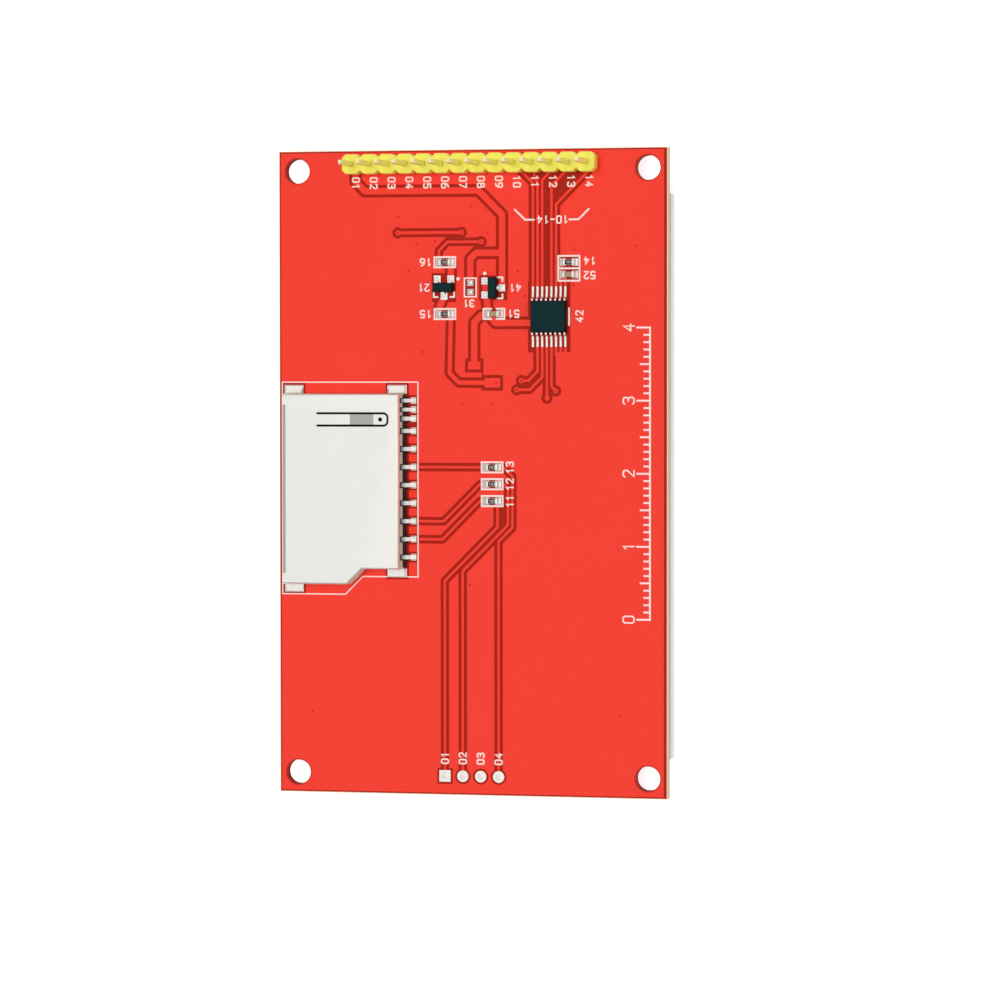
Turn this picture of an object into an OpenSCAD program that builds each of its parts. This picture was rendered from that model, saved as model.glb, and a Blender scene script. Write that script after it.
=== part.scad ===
// Display module: a 3.2 inch touch display taped to the front of a red circuit board.
// It lies on its display face. The board's rear side, with the pin header and the card socket, is up.

/* [Board] */
// Width of the circuit board, and of the display on its front
board_w = 55.04; // [54:0.02:62]
// Length of the circuit board
board_l = 89.3; // [88:0.1:96]
// Thickness of the bare laminate
board_t = 1.6; // [0.8:0.1:2.4]
// Diameter of the four mounting holes
mount_d = 3.4; // [2.6:0.1:3.6]
// Mounting hole centre to the side edge
mount_inset_x = 2.72; // [2.6:0.02:3.2]
// Mounting hole centre to the top or bottom edge
mount_inset_y = 2.8; // [2.6:0.1:3.2]
// Thickness of the lacquer on bare laminate
mask_t = 0.03; // [0.02:0.01:0.04]
// Thickness of the copper with its lacquer
coat_t = 0.07; // [0.05:0.01:0.08]
// Thickness of a tinned pad
pad_t = 0.1; // [0.09:0.01:0.14]
// Bare margin between the copper and the board's edge
edge_gap = 0.3; // [0.2:0.05:1]
// The same margin along the board's right edge
right_gap = 0.5; // [0.2:0.05:1]
// Bare ring round each mounting hole
mount_ring = 0.15; // [0.15:0.05:0.6]
// Rim of the board that the lacquer leaves bare
lacquer_back = 0.12; // [0.05:0.01:0.2]

/* [Tracks] */
// Width of a signal track
track_w = 0.34; // [0.2:0.02:0.4]
// Width of a supply track
supply_w = 0.9; // [0.6:0.05:1]
// Bare gap beside each track
track_gap = 0.43; // [0.25:0.01:0.5]
// Radius of the copper land round a via
via_r = 0.36; // [0.25:0.01:0.5]

/* [Screen print] */
// Width of a printed line
print_w = 0.25; // [0.15:0.01:0.3]
// Width of the line printed round the socket
outline_w = 0.17; // [0.15:0.01:0.3]
// Width of the frame printed round a chip
frame_w = 3.2; // [3.1:0.05:3.4]
// Height of the frame printed round a chip
frame_h = 1.65; // [1.6:0.05:1.8]
// Length of the printed scale, in whole centimetres
scale_cm = 4; // [1:1:5]

/* [Pin header] */
// Distance between two pins
pitch = 2.54; // [2.5:0.01:2.6]
// Pin row to the board's top edge
header_inset = 2; // [1.8:0.1:2.2]
// Width of a square pin
pin_w = 0.64; // [0.5:0.02:0.7]
// Pin length above the housing
pin_above = 6; // [3:0.5:12]
// Pin length below the board's front face
pin_below = 1.4; // [1:0.1:2]
// Height of the plastic housing
housing_h = 2.54; // [1.5:0.02:3]
// Depth of the plastic housing
housing_d = 2.7; // [2.2:0.05:2.8]
// Corner cut of each cell of the housing
cell_cut = 0.5; // [0.2:0.05:0.8]
// Diameter of the drilled holes for the pins
drill_d = 1; // [0.95:0.01:1.1]
// Diameter of the land round a drilled hole
land_d = 1.6; // [1.5:0.05:1.8]
// Row of empty holes for a second header, to the board's bottom edge
empty_row_inset = 2.65; // [2.4:0.05:2.8]

/* [Card socket] */
// Gap from the board's left edge to the socket's mouth
socket_edge = 1.2; // [0.8:0.1:2]
// Middle of the socket, above the board's centre
socket_y = -2.25; // [-4:0.05:0]
// Length of the shell, from the mouth to its rear edge
shell_l = 16.7; // [16:0.1:18]
// Height of the shell above the pads
shell_h = 2.9; // [2.8:0.1:3.2]
// Thickness of the sheet steel
steel_t = 0.2; // [0.15:0.01:0.25]
// Depth of the shell's cut corner, matching the card's
corner_cut = 2.15; // [1.8:0.05:2.4]
// Length of a solder tab along the shell
tab_l = 2.3; // [2:0.1:3]
// Reach of a solder tab from the shell's wall
tab_reach = 1; // [0.8:0.05:1.2]
// Thickness of the base under the card
base_floor = 0.5; // [0.4:0.05:0.6]
// Thickness of the base's rear wall
base_rear = 0.8; // [0.6:0.1:1.5]
// Width of the base's side rails
base_rail = 0.95; // [0.7:0.05:1.1]
// Distance between two card contacts
contact_pitch = 2.5; // [2.4:0.02:2.6]
// Distance between the two contacts farthest from the cut corner
end_pitch = 1.7; // [1.6:0.05:2]
// Distance between two switch contacts
switch_pitch = 1.25; // [1:0.05:1.5]
// Shell's stepped side to the middle of the nearest contact
contact_side = 1.6; // [1.5:0.05:2]
// Shell's straight side to the middle of the nearest switch contact
switch_side = 0.95; // [0.9:0.05:1.4]
// Width of a card contact
contact_w = 0.55; // [0.4:0.05:0.7]
// Thickness of the contact strip
contact_t = 0.15; // [0.1:0.01:0.2]

/* [Small parts] */
// Length of a chip part
chip_l = 1.6; // [1.5:0.05:1.7]
// Width of a chip part
chip_w = 0.8; // [0.7:0.05:0.9]
// Height of a chip resistor
resistor_h = 0.45; // [0.35:0.05:0.6]
// Height of a chip capacitor
capacitor_h = 0.8; // [0.5:0.05:1]
// Distance between two leads of the touch controller
lead_pitch = 0.65; // [0.6:0.01:0.66]
// Length of the touch controller's body
controller_l = 5; // [4.9:0.05:5.1]
// Width of the touch controller's body
controller_w = 4.4; // [4.2:0.1:4.6]
// Height of the touch controller's body
controller_h = 0.9; // [0.8:0.05:1.2]
// Length of a three-lead body
small_body_l = 2.9; // [2.8:0.05:3]
// Width of a three-lead body
small_body_w = 1.3; // [1.2:0.05:1.4]
// Height of a three-lead body
small_body_h = 1; // [0.8:0.05:1.2]
// Clear height under the moulded bodies
stand_off = 0.08; // [0.05:0.01:0.12]

/* [Display] */
// Clearance between the header's lands and the display
header_clear = 3.45; // [1:0.05:6]
// Clearance between the empty row's lands and the bend of the display's flex cable
cable_clear = 0.475; // [0.3:0.025:3]
// Wall of the backlight frame
frame_wall = 0.9; // [0.7:0.05:1]
// Width of the ledge that carries the glass
frame_ledge = 1; // [0.8:0.05:1.2]
// Thickness of each of the two glass plates
glass_t = 0.5; // [0.3:0.05:0.7]
// Thickness of a polarizer
polarizer_t = 0.15; // [0.1:0.01:0.2]
// Thickness of a prism or diffuser sheet
sheet_t = 0.15; // [0.1:0.01:0.2]
// Thickness of the light guide
guide_t = 0.7; // [0.5:0.05:0.9]
// Thickness of the reflector sheet
reflector_t = 0.1; // [0.08:0.01:0.15]
// Thickness of the foam tape
foam_t = 0.78; // [0.5:0.02:1]
// Depth of the rear glass's ledge for the driver chip
chip_ledge = 3.2; // [2.8:0.1:4]
// Width of the display's flex cable
flex_w = 30; // [24:0.5:34]
// Thickness of the flex cables
flex_t = 0.12; // [0.08:0.01:0.15]

/* [Touch panel] */
// Thickness of the touch film
film_t = 0.19; // [0.15:0.01:0.25]
// Thickness of the spacer border
spacer_t = 0.12; // [0.12:0.01:0.15]
// Thickness of the touch glass
touch_glass_t = 0.7; // [0.5:0.05:1.1]
// Thickness of the border tape
touch_tape_t = 0.15; // [0.1:0.01:0.2]
// Margin between the touch panel and the display's outline
touch_margin = 0.4; // [0.3:0.05:0.6]
// Width of the border tape and of the spacer border
border_w = 2.4; // [2:0.1:2.8]
// Width of the touch panel's flex tail
tail_w = 7; // [5:0.5:8]
// Middle of the tail to the display's side
tail_inset = 10.02; // [8:0.02:14]
// Gap between the tail and the display's flex cable
cable_gap = 2; // [1:0.1:4]

/* [Hidden] */

// Colours
red_copper = [0.96, 0.28, 0.23];
red_mask = [0.69, 0.15, 0.12];
print_white = [1, 0.95, 0.93];
tin = [0.88, 0.88, 0.86];
gold = [0.93, 0.8, 0.35];
housing_yellow = [0.96, 0.92, 0.37];
steel = [0.8, 0.8, 0.78];
tan_plastic = [0.73, 0.63, 0.53];
chip_black = [0.08, 0.12, 0.13];
frame_white = [0.95, 0.94, 0.9];
flex_amber = [0.72, 0.42, 0.16];

// Heights of the layers, from the touch film's face at 0 up to the board
z_spacer = film_t;
z_touch_glass = z_spacer + spacer_t;
z_touch_tape = z_touch_glass + touch_glass_t;
z_frame = z_touch_tape + touch_tape_t;
z_front_glass = z_frame + polarizer_t;
z_rear_glass = z_front_glass + glass_t;
z_ledge = z_rear_glass + glass_t;
z_prism = z_ledge + polarizer_t;
z_diffuser = z_prism + sheet_t;
z_guide = z_diffuser + sheet_t;
z_reflector = z_guide + guide_t;
z_foam = z_reflector + reflector_t;
z_front_mask = z_foam + foam_t;
z_board = z_front_mask + mask_t;
z_rear = z_board + board_t;
z_pads = z_rear + pad_t;
z_print = z_rear + coat_t;

// The row of header pins and the row of empty holes
pin_count = 14;
empty_count = 4;
header_y = board_l / 2 - header_inset;
empty_y = -board_l / 2 + empty_row_inset;
function pin_x(i) = (i - (pin_count + 1) / 2) * pitch;
function empty_x(i) = (i - (empty_count + 1) / 2) * pitch;

// The mounting holes
mounts = [for (sx = [-1, 1], sy = [-1, 1])
    [sx * (board_w / 2 - mount_inset_x), sy * (board_l / 2 - mount_inset_y)]];

// The card socket: x grows from the mouth to the leads
mouth_x = -board_w / 2 + socket_edge;
shell_end_x = mouth_x + shell_l;
shell_w = corner_cut + contact_side + 7 * contact_pitch + end_pitch + 2 * switch_pitch + switch_side;
shell_top_y = socket_y + shell_w / 2;
shell_low_y = socket_y - shell_w / 2;
step_y = shell_low_y + corner_cut;
step_x = shell_end_x - 5.3;
base_end_x = shell_end_x - steel_t;
foot_end_x = shell_end_x + 0.3;
tooth_end_x = shell_end_x + 0.55;
contact_9_y = step_y + contact_side;
function contact_y(i) = i < 8 ? contact_9_y + i * contact_pitch
    : i == 8 ? contact_9_y + 7 * contact_pitch + end_pitch
    : contact_9_y;
switch_ys = [contact_y(8) + switch_pitch, contact_y(8) + 2 * switch_pitch];
switch_w = 0.5;
lead_x = tooth_end_x + 0.4;
lead_end_x = lead_x + 0.8;

// Places of the small parts; the upper group hangs from the header row
controller = [10.97, header_y - 21.12];
transistor = [-3.88, header_y - 17.05];
regulator = [3.1, header_y - 17.13];
jumper = [-0.15, header_y - 17.05];
capacitors = [[3.2, header_y - 20.7], [13.75, header_y - 15.35]];
series_x = 2.93;
series_top = contact_y(5);
series_step = 2.33;
resistors = [
    [series_x, series_top - 2 * series_step], [series_x, series_top - series_step], [series_x, series_top],
    [13.75, header_y - 13.65], [-3.75, header_y - 20.7], [-3.75, header_y - 13.55]
];

// Pads of the small parts
chip_pad = [0.8, 1];
chip_pad_x = 0.85;
controller_pad = [0.28, 1.5];
controller_pad_y = 3.4;
small_pad = [0.95, 1];
small_lead_pitch = 1.92;
small_pad_reach = 1.17;
jumper_pad = [0.86, 0.8];
jumper_pad_y = 0.63;
lead_pad = [0.75, 0.9];
tab_pad_extra = 0.2;
function lead_pin_x(i) = controller[0] + (i - 4.5) * lead_pitch;
function chip_pads(at) = [for (s = [-1, 1]) [at + [s * chip_pad_x, 0], chip_pad]];

// A three-lead part has two pads at its back and one in front; turn is its angle
function spin(p, turn) = [p[0] * cos(turn) - p[1] * sin(turn), p[0] * sin(turn) + p[1] * cos(turn)];
function small_leads() = [[-small_lead_pitch / 2, small_pad_reach], [small_lead_pitch / 2, small_pad_reach],
    [0, -small_pad_reach]];
function small_pads(at, turn) = [for (p = small_leads())
    [at + spin(p, turn), turn == 0 ? small_pad : [small_pad[1], small_pad[0]]]];
transistor_turn = 0;
regulator_turn = 90;

// The socket's pads: one row at the leads, and one pad under each tab
lead_pad_x = lead_end_x + 0.025 - lead_pad[0] / 2;
tab_front_x = mouth_x + tab_l / 2;
tab_rear_x = shell_end_x - tab_l / 2;
tabs = [[tab_front_x, shell_top_y, 1], [tab_rear_x, shell_top_y, 1],
    [tab_front_x, shell_low_y, -1], [tab_rear_x, step_y, -1]];
function socket_pads() = concat(
    [for (i = [1 : 9]) [[lead_pad_x, contact_y(i)], lead_pad]],
    [for (y = switch_ys) [[lead_pad_x, y], lead_pad]],
    [for (t = tabs) [[t[0] + (t[0] == tab_rear_x ? tab_pad_extra : -tab_pad_extra),
        t[1] + t[2] * (tab_reach + tab_pad_extra) / 2],
        [tab_l + 2 * tab_pad_extra, tab_reach + tab_pad_extra]]]
);
rect_pads = concat(
    [for (r = resistors) each chip_pads(r)],
    [for (c = capacitors) each chip_pads(c)],
    [for (i = [1 : 8], s = [-1, 1]) [[lead_pin_x(i), controller[1] + s * controller_pad_y], controller_pad]],
    small_pads(transistor, transistor_turn),
    small_pads(regulator, regulator_turn),
    [for (s = [-1, 1]) [jumper + [0, s * jumper_pad_y], jumper_pad]],
    socket_pads()
);
// Two test lands that stay under the lacquer
lands = [[[0.4, header_y - 27.8], [1.75, 1.1]], [[2.95, header_y - 30.2], [2.2, 1.3]]];

// Tracks on the rear side: [width, points]
function pin(i) = [pin_x(i), header_y];
function below(d) = header_y - d;
function lead_top(i) = [lead_pin_x(i), controller[1] + controller_pad_y];
function lead_low(i) = [lead_pin_x(i), controller[1] - controller_pad_y];
function left_pad(at) = at - [chip_pad_x, 0];
function right_pad(at) = at + [chip_pad_x, 0];
function contact(i) = [lead_pad_x, contact_y(i)];
supply_x = regulator[0] + 1.25;
function bus(p, from, lane_y, i) = [track_w,
    [pin(p), [pin_x(p), from], [lead_pin_x(i), lane_y], lead_top(i)]];
function rise(i, r) = [track_w, [contact(i), [series_x - 1.73 - (r[1] - contact_y(i)), contact_y(i)],
    [series_x - 1.73, r[1]], left_pad(r)]];
function drop(r, out_x, lane_x, lane_y, k) = [track_w, [right_pad(r), [out_x, r[1]],
    [lane_x, r[1] - (lane_x - out_x)], [lane_x, lane_y],
    [empty_x(k), lane_y - (lane_x - empty_x(k))], [empty_x(k), empty_y]]];
supply_tracks = [
    [supply_w, [pin(1), [pin_x(1), below(2.3)], [pin_x(1) + 1.35, below(3.65)],
        [supply_x - 3.35, below(3.7)], [supply_x, below(7.05)], [supply_x, regulator[1]]]],
    [supply_w, [[supply_x, below(12.3)], [jumper[0] + 0.8, below(12.3)], [jumper[0], below(13.1)],
        jumper + [0, jumper_pad_y]]],
    [supply_w, [[9.5, below(21.95)], [3.4, below(21.95)], left_pad(capacitors[0])]],
    [supply_w, [left_pad(capacitors[0]), [1.35, below(20.9)], [0.4, below(21.85)], lands[0][0]]],
    [supply_w, [small_pads(regulator, regulator_turn)[1][0], left_pad(capacitors[0])]],
    [supply_w, [small_pads(transistor, transistor_turn)[2][0], [resistors[4][0] - 0.75, below(19.7)],
        left_pad(resistors[4])]],
    [supply_w, [right_pad(resistors[5]), small_pads(transistor, transistor_turn)[1][0]]],
    [0.6, [right_pad(resistors[4]), [resistors[4][0] + 0.65, below(28.85)],
        [resistors[4][0] + 1.95, below(30.15)], lands[1][0]]],
    [0.4, [[-10.45, below(9.45)], [-1.4, below(9.45)]]]
];
signal_tracks = [
    [track_w, [[1.4, below(10.75)], [-3.4, below(10.75)], [-4.6, below(11.95)], left_pad(resistors[5])]],
    bus(10, below(0.5), below(2.75), 1),
    bus(11, below(2.1), below(2.55), 2),
    bus(12, below(0.9), below(2.35), 3),
    bus(13, below(0.5), below(3.2), 5),
    bus(14, below(1.15), below(5.7), 6),
    [track_w, [lead_top(7), lead_top(7) + [0, 2.4], left_pad(resistors[3])]],
    [track_w, [lead_top(8), [lead_pin_x(8), capacitors[1][1]], left_pad(capacitors[1])]],
    [track_w, [lead_low(2), [lead_pin_x(2), below(28.55)], [8.05, below(29.9)], [7.05, below(29.9)]]],
    [track_w, [lead_low(3), [lead_pin_x(3), below(29.4)], [8.25, below(31.15)], [6.4, below(31.15)]]],
    [track_w, [lead_low(4), [lead_pin_x(4), below(32.3)]]],
    [track_w, [lead_low(5), [lead_pin_x(5), below(30.7)], [11.9, below(31.3)]]],
    [track_w, [contact(5), left_pad(resistors[2])]],
    rise(2, resistors[1]),
    rise(1, resistors[0]),
    drop(resistors[0], series_x + 0.75, series_x + 0.75, -7.45, 1),
    drop(resistors[1], series_x + 1.6, series_x + 2.22, -7.15, 2),
    drop(resistors[2], series_x + 1.6, series_x + 2.85, -7.5, 4)
];
vias = [[-10.45, below(9.45)], [-1.4, below(9.45)], [1.4, below(10.75)], [7.05, below(29.9)],
    [6.4, below(31.15)], [lead_pin_x(4), below(32.3)], [11.9, below(31.3)]];
// Short links from ground pads into the pour
ground_links = concat(
    [for (i = [6 : 8]) [track_w, [lead_low(i), lead_low(i) - [0, 1.9]]]],
    [for (c = [capacitors[0], capacitors[1], resistors[3]]) [track_w, [right_pad(c), right_pad(c) + [1.4, 0]]]],
    [for (i = [3, 6]) [track_w, [contact(i), contact(i) + [1.6, 0]]]],
    [[track_w, [jumper - [0, jumper_pad_y], jumper - [0, jumper_pad_y + 1.2]]]]
);

// A cut runs past the faces that it opens
over = 1;

// Outline of the display's parts, from the frame inwards
bend_gap = 0.1;
cable_bend_r = (z_front_mask - z_rear_glass + flex_t) / 2;
display_w = board_w;
display_low_y = empty_y + land_d / 2 + cable_clear + cable_bend_r + bend_gap;
display_top_y = header_y - land_d / 2 - header_clear;
display_l = display_top_y - display_low_y;
display_y = (display_top_y + display_low_y) / 2;
cell_gap = 0.1;
cell_w = display_w - 2 * (frame_wall + cell_gap);
cell_l = display_l - 2 * (frame_wall + cell_gap);
cell_low_y = display_low_y + frame_wall + cell_gap;
well_w = display_w - 2 * (frame_wall + frame_ledge);
well_l = display_l - 2 * (frame_wall + frame_ledge);
well_low_y = display_low_y + frame_wall + frame_ledge;
panel_w = display_w - 2 * touch_margin;
panel_l = display_l - 2 * touch_margin;
panel_low_y = display_low_y + touch_margin;
flex_bond = 1;
flex_back = 9;
tail_x = display_w / 2 - tail_inset;
flex_x = tail_x - tail_w / 2 - cable_gap - flex_w / 2;
tail_bond = 1.8;
tail_back = 6;
bend_y = display_low_y - bend_gap;
driver_l = 20;
driver_w = 1;
driver_h = 0.3;
led_count = 6;
led_size = [3, 1, 0.5];
led_strip_w = 1.5;
led_strip_t = 0.1;

// A line of the given width through the points
module segment_2d(a, b, w) {
    d = b - a;
    translate(a) rotate(atan2(d[1], d[0])) translate([0, -w / 2]) square([norm(d), w]);
}

module track_2d(points, w, ends = true) {
    for (i = [0 : len(points) - 2]) segment_2d(points[i], points[i + 1], w);
    for (i = [ends ? 0 : 1 : len(points) - (ends ? 1 : 2)]) translate(points[i]) circle(d = w, $fn = 12);
}

module tracks_2d(list, grow = 0) {
    for (t = list) track_2d(t[1], t[0] + 2 * grow);
}

module vias_2d(grow = 0) {
    for (v = vias) translate(v) circle(via_r + grow, $fn = 24);
}

module lands_2d(grow = 0) {
    for (p = lands) translate(p[0]) square(p[1] + 2 * [grow, grow], center = true);
}

module rect_pads_2d(grow = 0) {
    for (p = rect_pads) translate(p[0]) square(p[1] + 2 * [grow, grow], center = true);
}

// Round lands of the two rows; the first land of the empty row is square
module row_lands_2d(grow = 0) {
    for (i = [1 : pin_count]) translate(pin(i)) circle(d = land_d + 2 * grow, $fn = 32);
    for (i = [2 : empty_count]) translate([empty_x(i), empty_y]) circle(d = land_d + 2 * grow, $fn = 32);
    translate([empty_x(1), empty_y]) square(land_d + 2 * grow, center = true);
}

module row_drills_2d(grow = 0) {
    for (i = [1 : pin_count]) translate(pin(i)) circle(d = drill_d + 2 * grow, $fn = 24);
    for (i = [1 : empty_count]) translate([empty_x(i), empty_y]) circle(d = drill_d + 2 * grow, $fn = 24);
}

module mount_circles_2d(grow) {
    for (m = mounts) translate(m) circle(d = mount_d + 2 * grow, $fn = 48);
}

module board_2d(inset) {
    square([board_w - 2 * inset, board_l - 2 * inset], center = true);
}

// Where the lacquer leaves the pads open
opening_grow = 0.05;
module openings_2d() {
    rect_pads_2d(opening_grow);
    row_lands_2d(opening_grow);
}

// Bare fields under the small parts
module bare_fields_2d() {
    for (r = concat(resistors, capacitors)) translate(r) square([2.9, 1.4], center = true);
    translate(controller) square([5.95, 9.8], center = true);
    translate(transistor) square([3.4, 4], center = true);
    translate(regulator) square([4, 3.4], center = true);
    translate(jumper) square([1.55, 2.5], center = true);
    // Under the roots of the socket's leads
    translate([shell_end_x - 0.5, step_y]) square([1.2, shell_top_y - step_y]);
    // Where the controller's five tracks leave the header
    polygon([pin(10), pin(14), [lead_pin_x(6), below(5.7)], [lead_pin_x(1), below(2.75)]]);
}

// The pour fills what is left between the tracks, without slivers
pour_min = 0.18;
module pour_2d() {
    offset(delta = pour_min) offset(delta = -pour_min) difference() {
        translate([(edge_gap - right_gap) / 2, 0])
            square([board_w - edge_gap - right_gap, board_l - 2 * edge_gap], center = true);
        tracks_2d(supply_tracks, track_gap);
        tracks_2d(signal_tracks, track_gap);
        vias_2d(track_gap);
        lands_2d(track_gap);
        rect_pads_2d(0.3);
        row_lands_2d(0.3);
        mount_circles_2d(mount_ring);
        bare_fields_2d();
    }
}

module copper_2d() {
    pour_2d();
    tracks_2d(supply_tracks);
    tracks_2d(signal_tracks);
    tracks_2d(ground_links);
    vias_2d();
    lands_2d();
}

module frame_2d(size, w) {
    difference() {
        square(size, center = true);
        square(size - 2 * [w, w], center = true);
    }
}

// Plain scale along the right edge: a tick each millimetre, longer at 5 and 10
scale_x = board_w / 2 - 2.45;
module scale_2d() {
    half = scale_cm * 5;
    translate([scale_x - print_w / 2, -half - print_w / 2]) square([print_w, 2 * half + print_w]);
    for (i = [0 : 2 * half]) {
        tick = i % 10 == 0 ? 1.9 : i % 5 == 0 ? 1.4 : 0.9;
        translate([scale_x - tick, i - half - print_w / 2]) square([tick, print_w]);
    }
}

module print_2d() {
    // Socket outline
    socket_print = [[mouth_x - 0.76, shell_top_y + 1.6], [lead_end_x + 0.26, shell_top_y + 1.6],
        [lead_end_x + 0.26, step_y - 1.15], [step_x - 0.6, step_y - 1.15],
        [step_x - 3.1, shell_low_y - 1.5], [mouth_x - 0.76, shell_low_y - 1.5],
        [mouth_x - 0.76, shell_top_y + 1.6]];
    track_2d(socket_print, outline_w);
    // Frames of the chips
    for (i = [0, 1, 2, 4, 5]) translate(resistors[i]) frame_2d([frame_w, frame_h], print_w);
    pair_step = resistors[3][1] - capacitors[1][1];
    for (at = [resistors[3], capacitors[1]]) translate(at) frame_2d([frame_w, pair_step + print_w], print_w);
    translate(capacitors[0]) difference() {
        frame_2d([frame_w, frame_h], print_w);
        square([0.5, 2 * frame_h], center = true);
    }
    // Mark beside the touch controller
    translate(controller + [controller_l / 2 + 0.3, 0]) square([print_w, 2.5], center = true);
    // Corner marks and first-pin dots of the three-lead parts
    for (p = [[transistor, transistor_turn, 1], [regulator, regulator_turn, 1]]) translate(p[0]) rotate(p[1]) {
        for (s = [-1, 1]) track_2d([[s * 1.45, -0.6], [s * 1.45, -1.3], [s * 0.9, -1.3]], print_w);
        translate([2, 1.2]) circle(r = 0.25, $fn = 16);
    }
    // Jumper frame
    translate(jumper) frame_2d([1.85, 2.75], 0.2);
    // Bracket under the last five pins
    track_2d([pin(10) - [0.2, 6.4], pin(10) + [1.25, -7.8], pin(10) + [2.5, -7.8]], print_w);
    track_2d([pin(14) - [0, 6.4], pin(14) - [1.4, 7.8], pin(14) - [2.7, 7.8]], print_w);
    scale_2d();
}

// A block whose upper and lower halves narrow away from a band at mid height
module drafted_profile(w, h, band) {
    d = 0.12;
    polygon([[-w / 2 + d, 0], [w / 2 - d, 0], [w / 2, (h - band) / 2], [w / 2, (h + band) / 2],
        [w / 2 - d, h], [-w / 2 + d, h], [-w / 2, (h + band) / 2], [-w / 2, (h - band) / 2]]);
}

module drafted_block(l, w, h, band) {
    intersection() {
        rotate([90, 0, 0]) linear_extrude(w + over, center = true) drafted_profile(l, h, band);
        rotate([90, 0, 90]) linear_extrude(l + over, center = true) drafted_profile(w, h, band);
    }
}

// A strip of metal: its path in the plane of its bends, extruded across
module strip(points, t, w) {
    rotate([90, 0, 0]) linear_extrude(w, center = true) offset(delta = 0) track_2d(points, t, ends = false);
}

lead_t = 0.15;
lead_band = lead_t + 0.06;
// A gull-wing lead: leaves the body's side at mid height and ends in a foot on its pad
module gull_lead(side, out, body_h, w) {
    mid = stand_off + body_h / 2;
    strip([[side, mid], [side + 0.22, mid], [side + out - 0.5, lead_t / 2], [side + out, lead_t / 2]], lead_t, w);
}

module board() {
    color("goldenrod") translate([0, 0, z_board]) difference() {
        translate([-board_w / 2, -board_l / 2, 0]) cube([board_w, board_l, board_t]);
        for (m = mounts) translate([m[0], m[1], -over])
            cylinder(d = mount_d, h = board_t + 2 * over, $fn = 64);
        for (i = [1 : pin_count]) translate([pin_x(i), header_y, -over])
            cylinder(d = drill_d, h = board_t + 2 * over, $fn = 32);
        for (i = [1 : empty_count]) translate([empty_x(i), empty_y, -over])
            cylinder(d = drill_d, h = board_t + 2 * over, $fn = 32);
    }
}

module rear_copper() {
    color(red_copper) translate([0, 0, z_rear]) linear_extrude(coat_t) offset(delta = 0) difference() {
        copper_2d();
        openings_2d();
    }
}

hole_play = 0.1;
module rear_mask() {
    color(red_mask) translate([0, 0, z_rear]) linear_extrude(mask_t) offset(delta = 0) difference() {
        board_2d(lacquer_back);
        copper_2d();
        openings_2d();
        mount_circles_2d(hole_play);
    }
}

module front_mask() {
    color(red_mask) translate([0, 0, z_front_mask]) linear_extrude(mask_t) offset(delta = 0) difference() {
        board_2d(lacquer_back);
        row_lands_2d(opening_grow);
        mount_circles_2d(hole_play);
    }
}

module rear_silkscreen() {
    color(print_white) translate([0, 0, z_print]) linear_extrude(pad_t - coat_t)
        offset(delta = 0) difference() {
            print_2d();
            openings_2d();
        }
}

module rear_pads() {
    color(tin) translate([0, 0, z_rear]) linear_extrude(pad_t) offset(delta = 0) difference() {
        union() {
            rect_pads_2d();
            row_lands_2d();
        }
        row_drills_2d();
    }
}

module front_pads() {
    color(tin) translate([0, 0, z_board - pad_t]) linear_extrude(pad_t) offset(delta = 0) difference() {
        row_lands_2d();
        row_drills_2d();
    }
}

// Fourteen joined cells with cut corners, each with a square hole for its pin
module header_housing() {
    c = cell_cut;
    w = pitch / 2;
    d = housing_d / 2;
    color(housing_yellow) translate([0, 0, z_pads]) linear_extrude(housing_h) offset(delta = 0) difference() {
        for (i = [1 : pin_count]) translate(pin(i))
            polygon([[-w + c, -d], [w - c, -d], [w, -d + c], [w, d - c], [w - c, d], [-w + c, d], [-w, d - c],
                [-w, -d + c]]);
        for (i = [1 : pin_count]) translate(pin(i)) square(pin_w, center = true);
    }
}

pin_point = 0.5;
module pin_profile(l) {
    w = pin_w / 2;
    polygon([[-w, pin_point], [-w / 2, 0], [w / 2, 0], [w, pin_point], [w, l - pin_point], [w / 2, l],
        [-w / 2, l], [-w, l - pin_point]]);
}

module header_pin(i) {
    low = z_front_mask - pin_below;
    l = z_pads + housing_h + pin_above - low;
    color(gold) translate([pin_x(i), header_y, low]) intersection() {
        rotate([90, 0, 0]) linear_extrude(2 * pin_w, center = true) pin_profile(l);
        rotate([90, 0, 90]) linear_extrude(2 * pin_w, center = true) pin_profile(l);
    }
}

// Solder cones round the pins, on the front pads
solder_h = 0.7;
module header_solder() {
    low = z_board - pad_t - solder_h;
    color(tin) for (i = [1 : pin_count]) translate([pin_x(i), header_y, low]) difference() {
        cylinder(d1 = pin_w * sqrt(2) + 0.1, d2 = land_d - 0.1, h = solder_h, $fn = 32);
        translate([-pin_w / 2, -pin_w / 2, -over]) cube([pin_w, pin_w, solder_h + 2 * over]);
    }
}

// Outline of the socket, drawn inwards by inset, between two places along it
module socket_2d(inset, from, to) {
    k = (sqrt(2) - 1) * inset;
    polygon([[from, shell_low_y + inset], [step_x - corner_cut - k, shell_low_y + inset],
        [step_x - k, step_y + inset], [to, step_y + inset], [to, shell_top_y - inset],
        [from, shell_top_y - inset]]);
}

// Spring finger in the shell's top: fixed at its front end, bent down and rising again to its tip
finger_from = 4.95;
finger_end = 1.45;
finger_l = shell_l - finger_from - finger_end;
finger_w = 1.4;
finger_slot = 0.3;
finger_dip = 0.7;
finger_y = shell_top_y - 3.55;
finger_tip = finger_l - finger_slot;
finger_tip_r = 0.45;
module finger_2d(grow) {
    r = finger_tip_r + grow;
    hull() {
        translate([0, -finger_w / 2 - grow]) square([1, finger_w + 2 * grow]);
        for (s = [-1, 1]) translate([finger_tip + grow - r, s * (finger_w / 2 + grow - r)]) circle(r, $fn = 32);
    }
}

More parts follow.
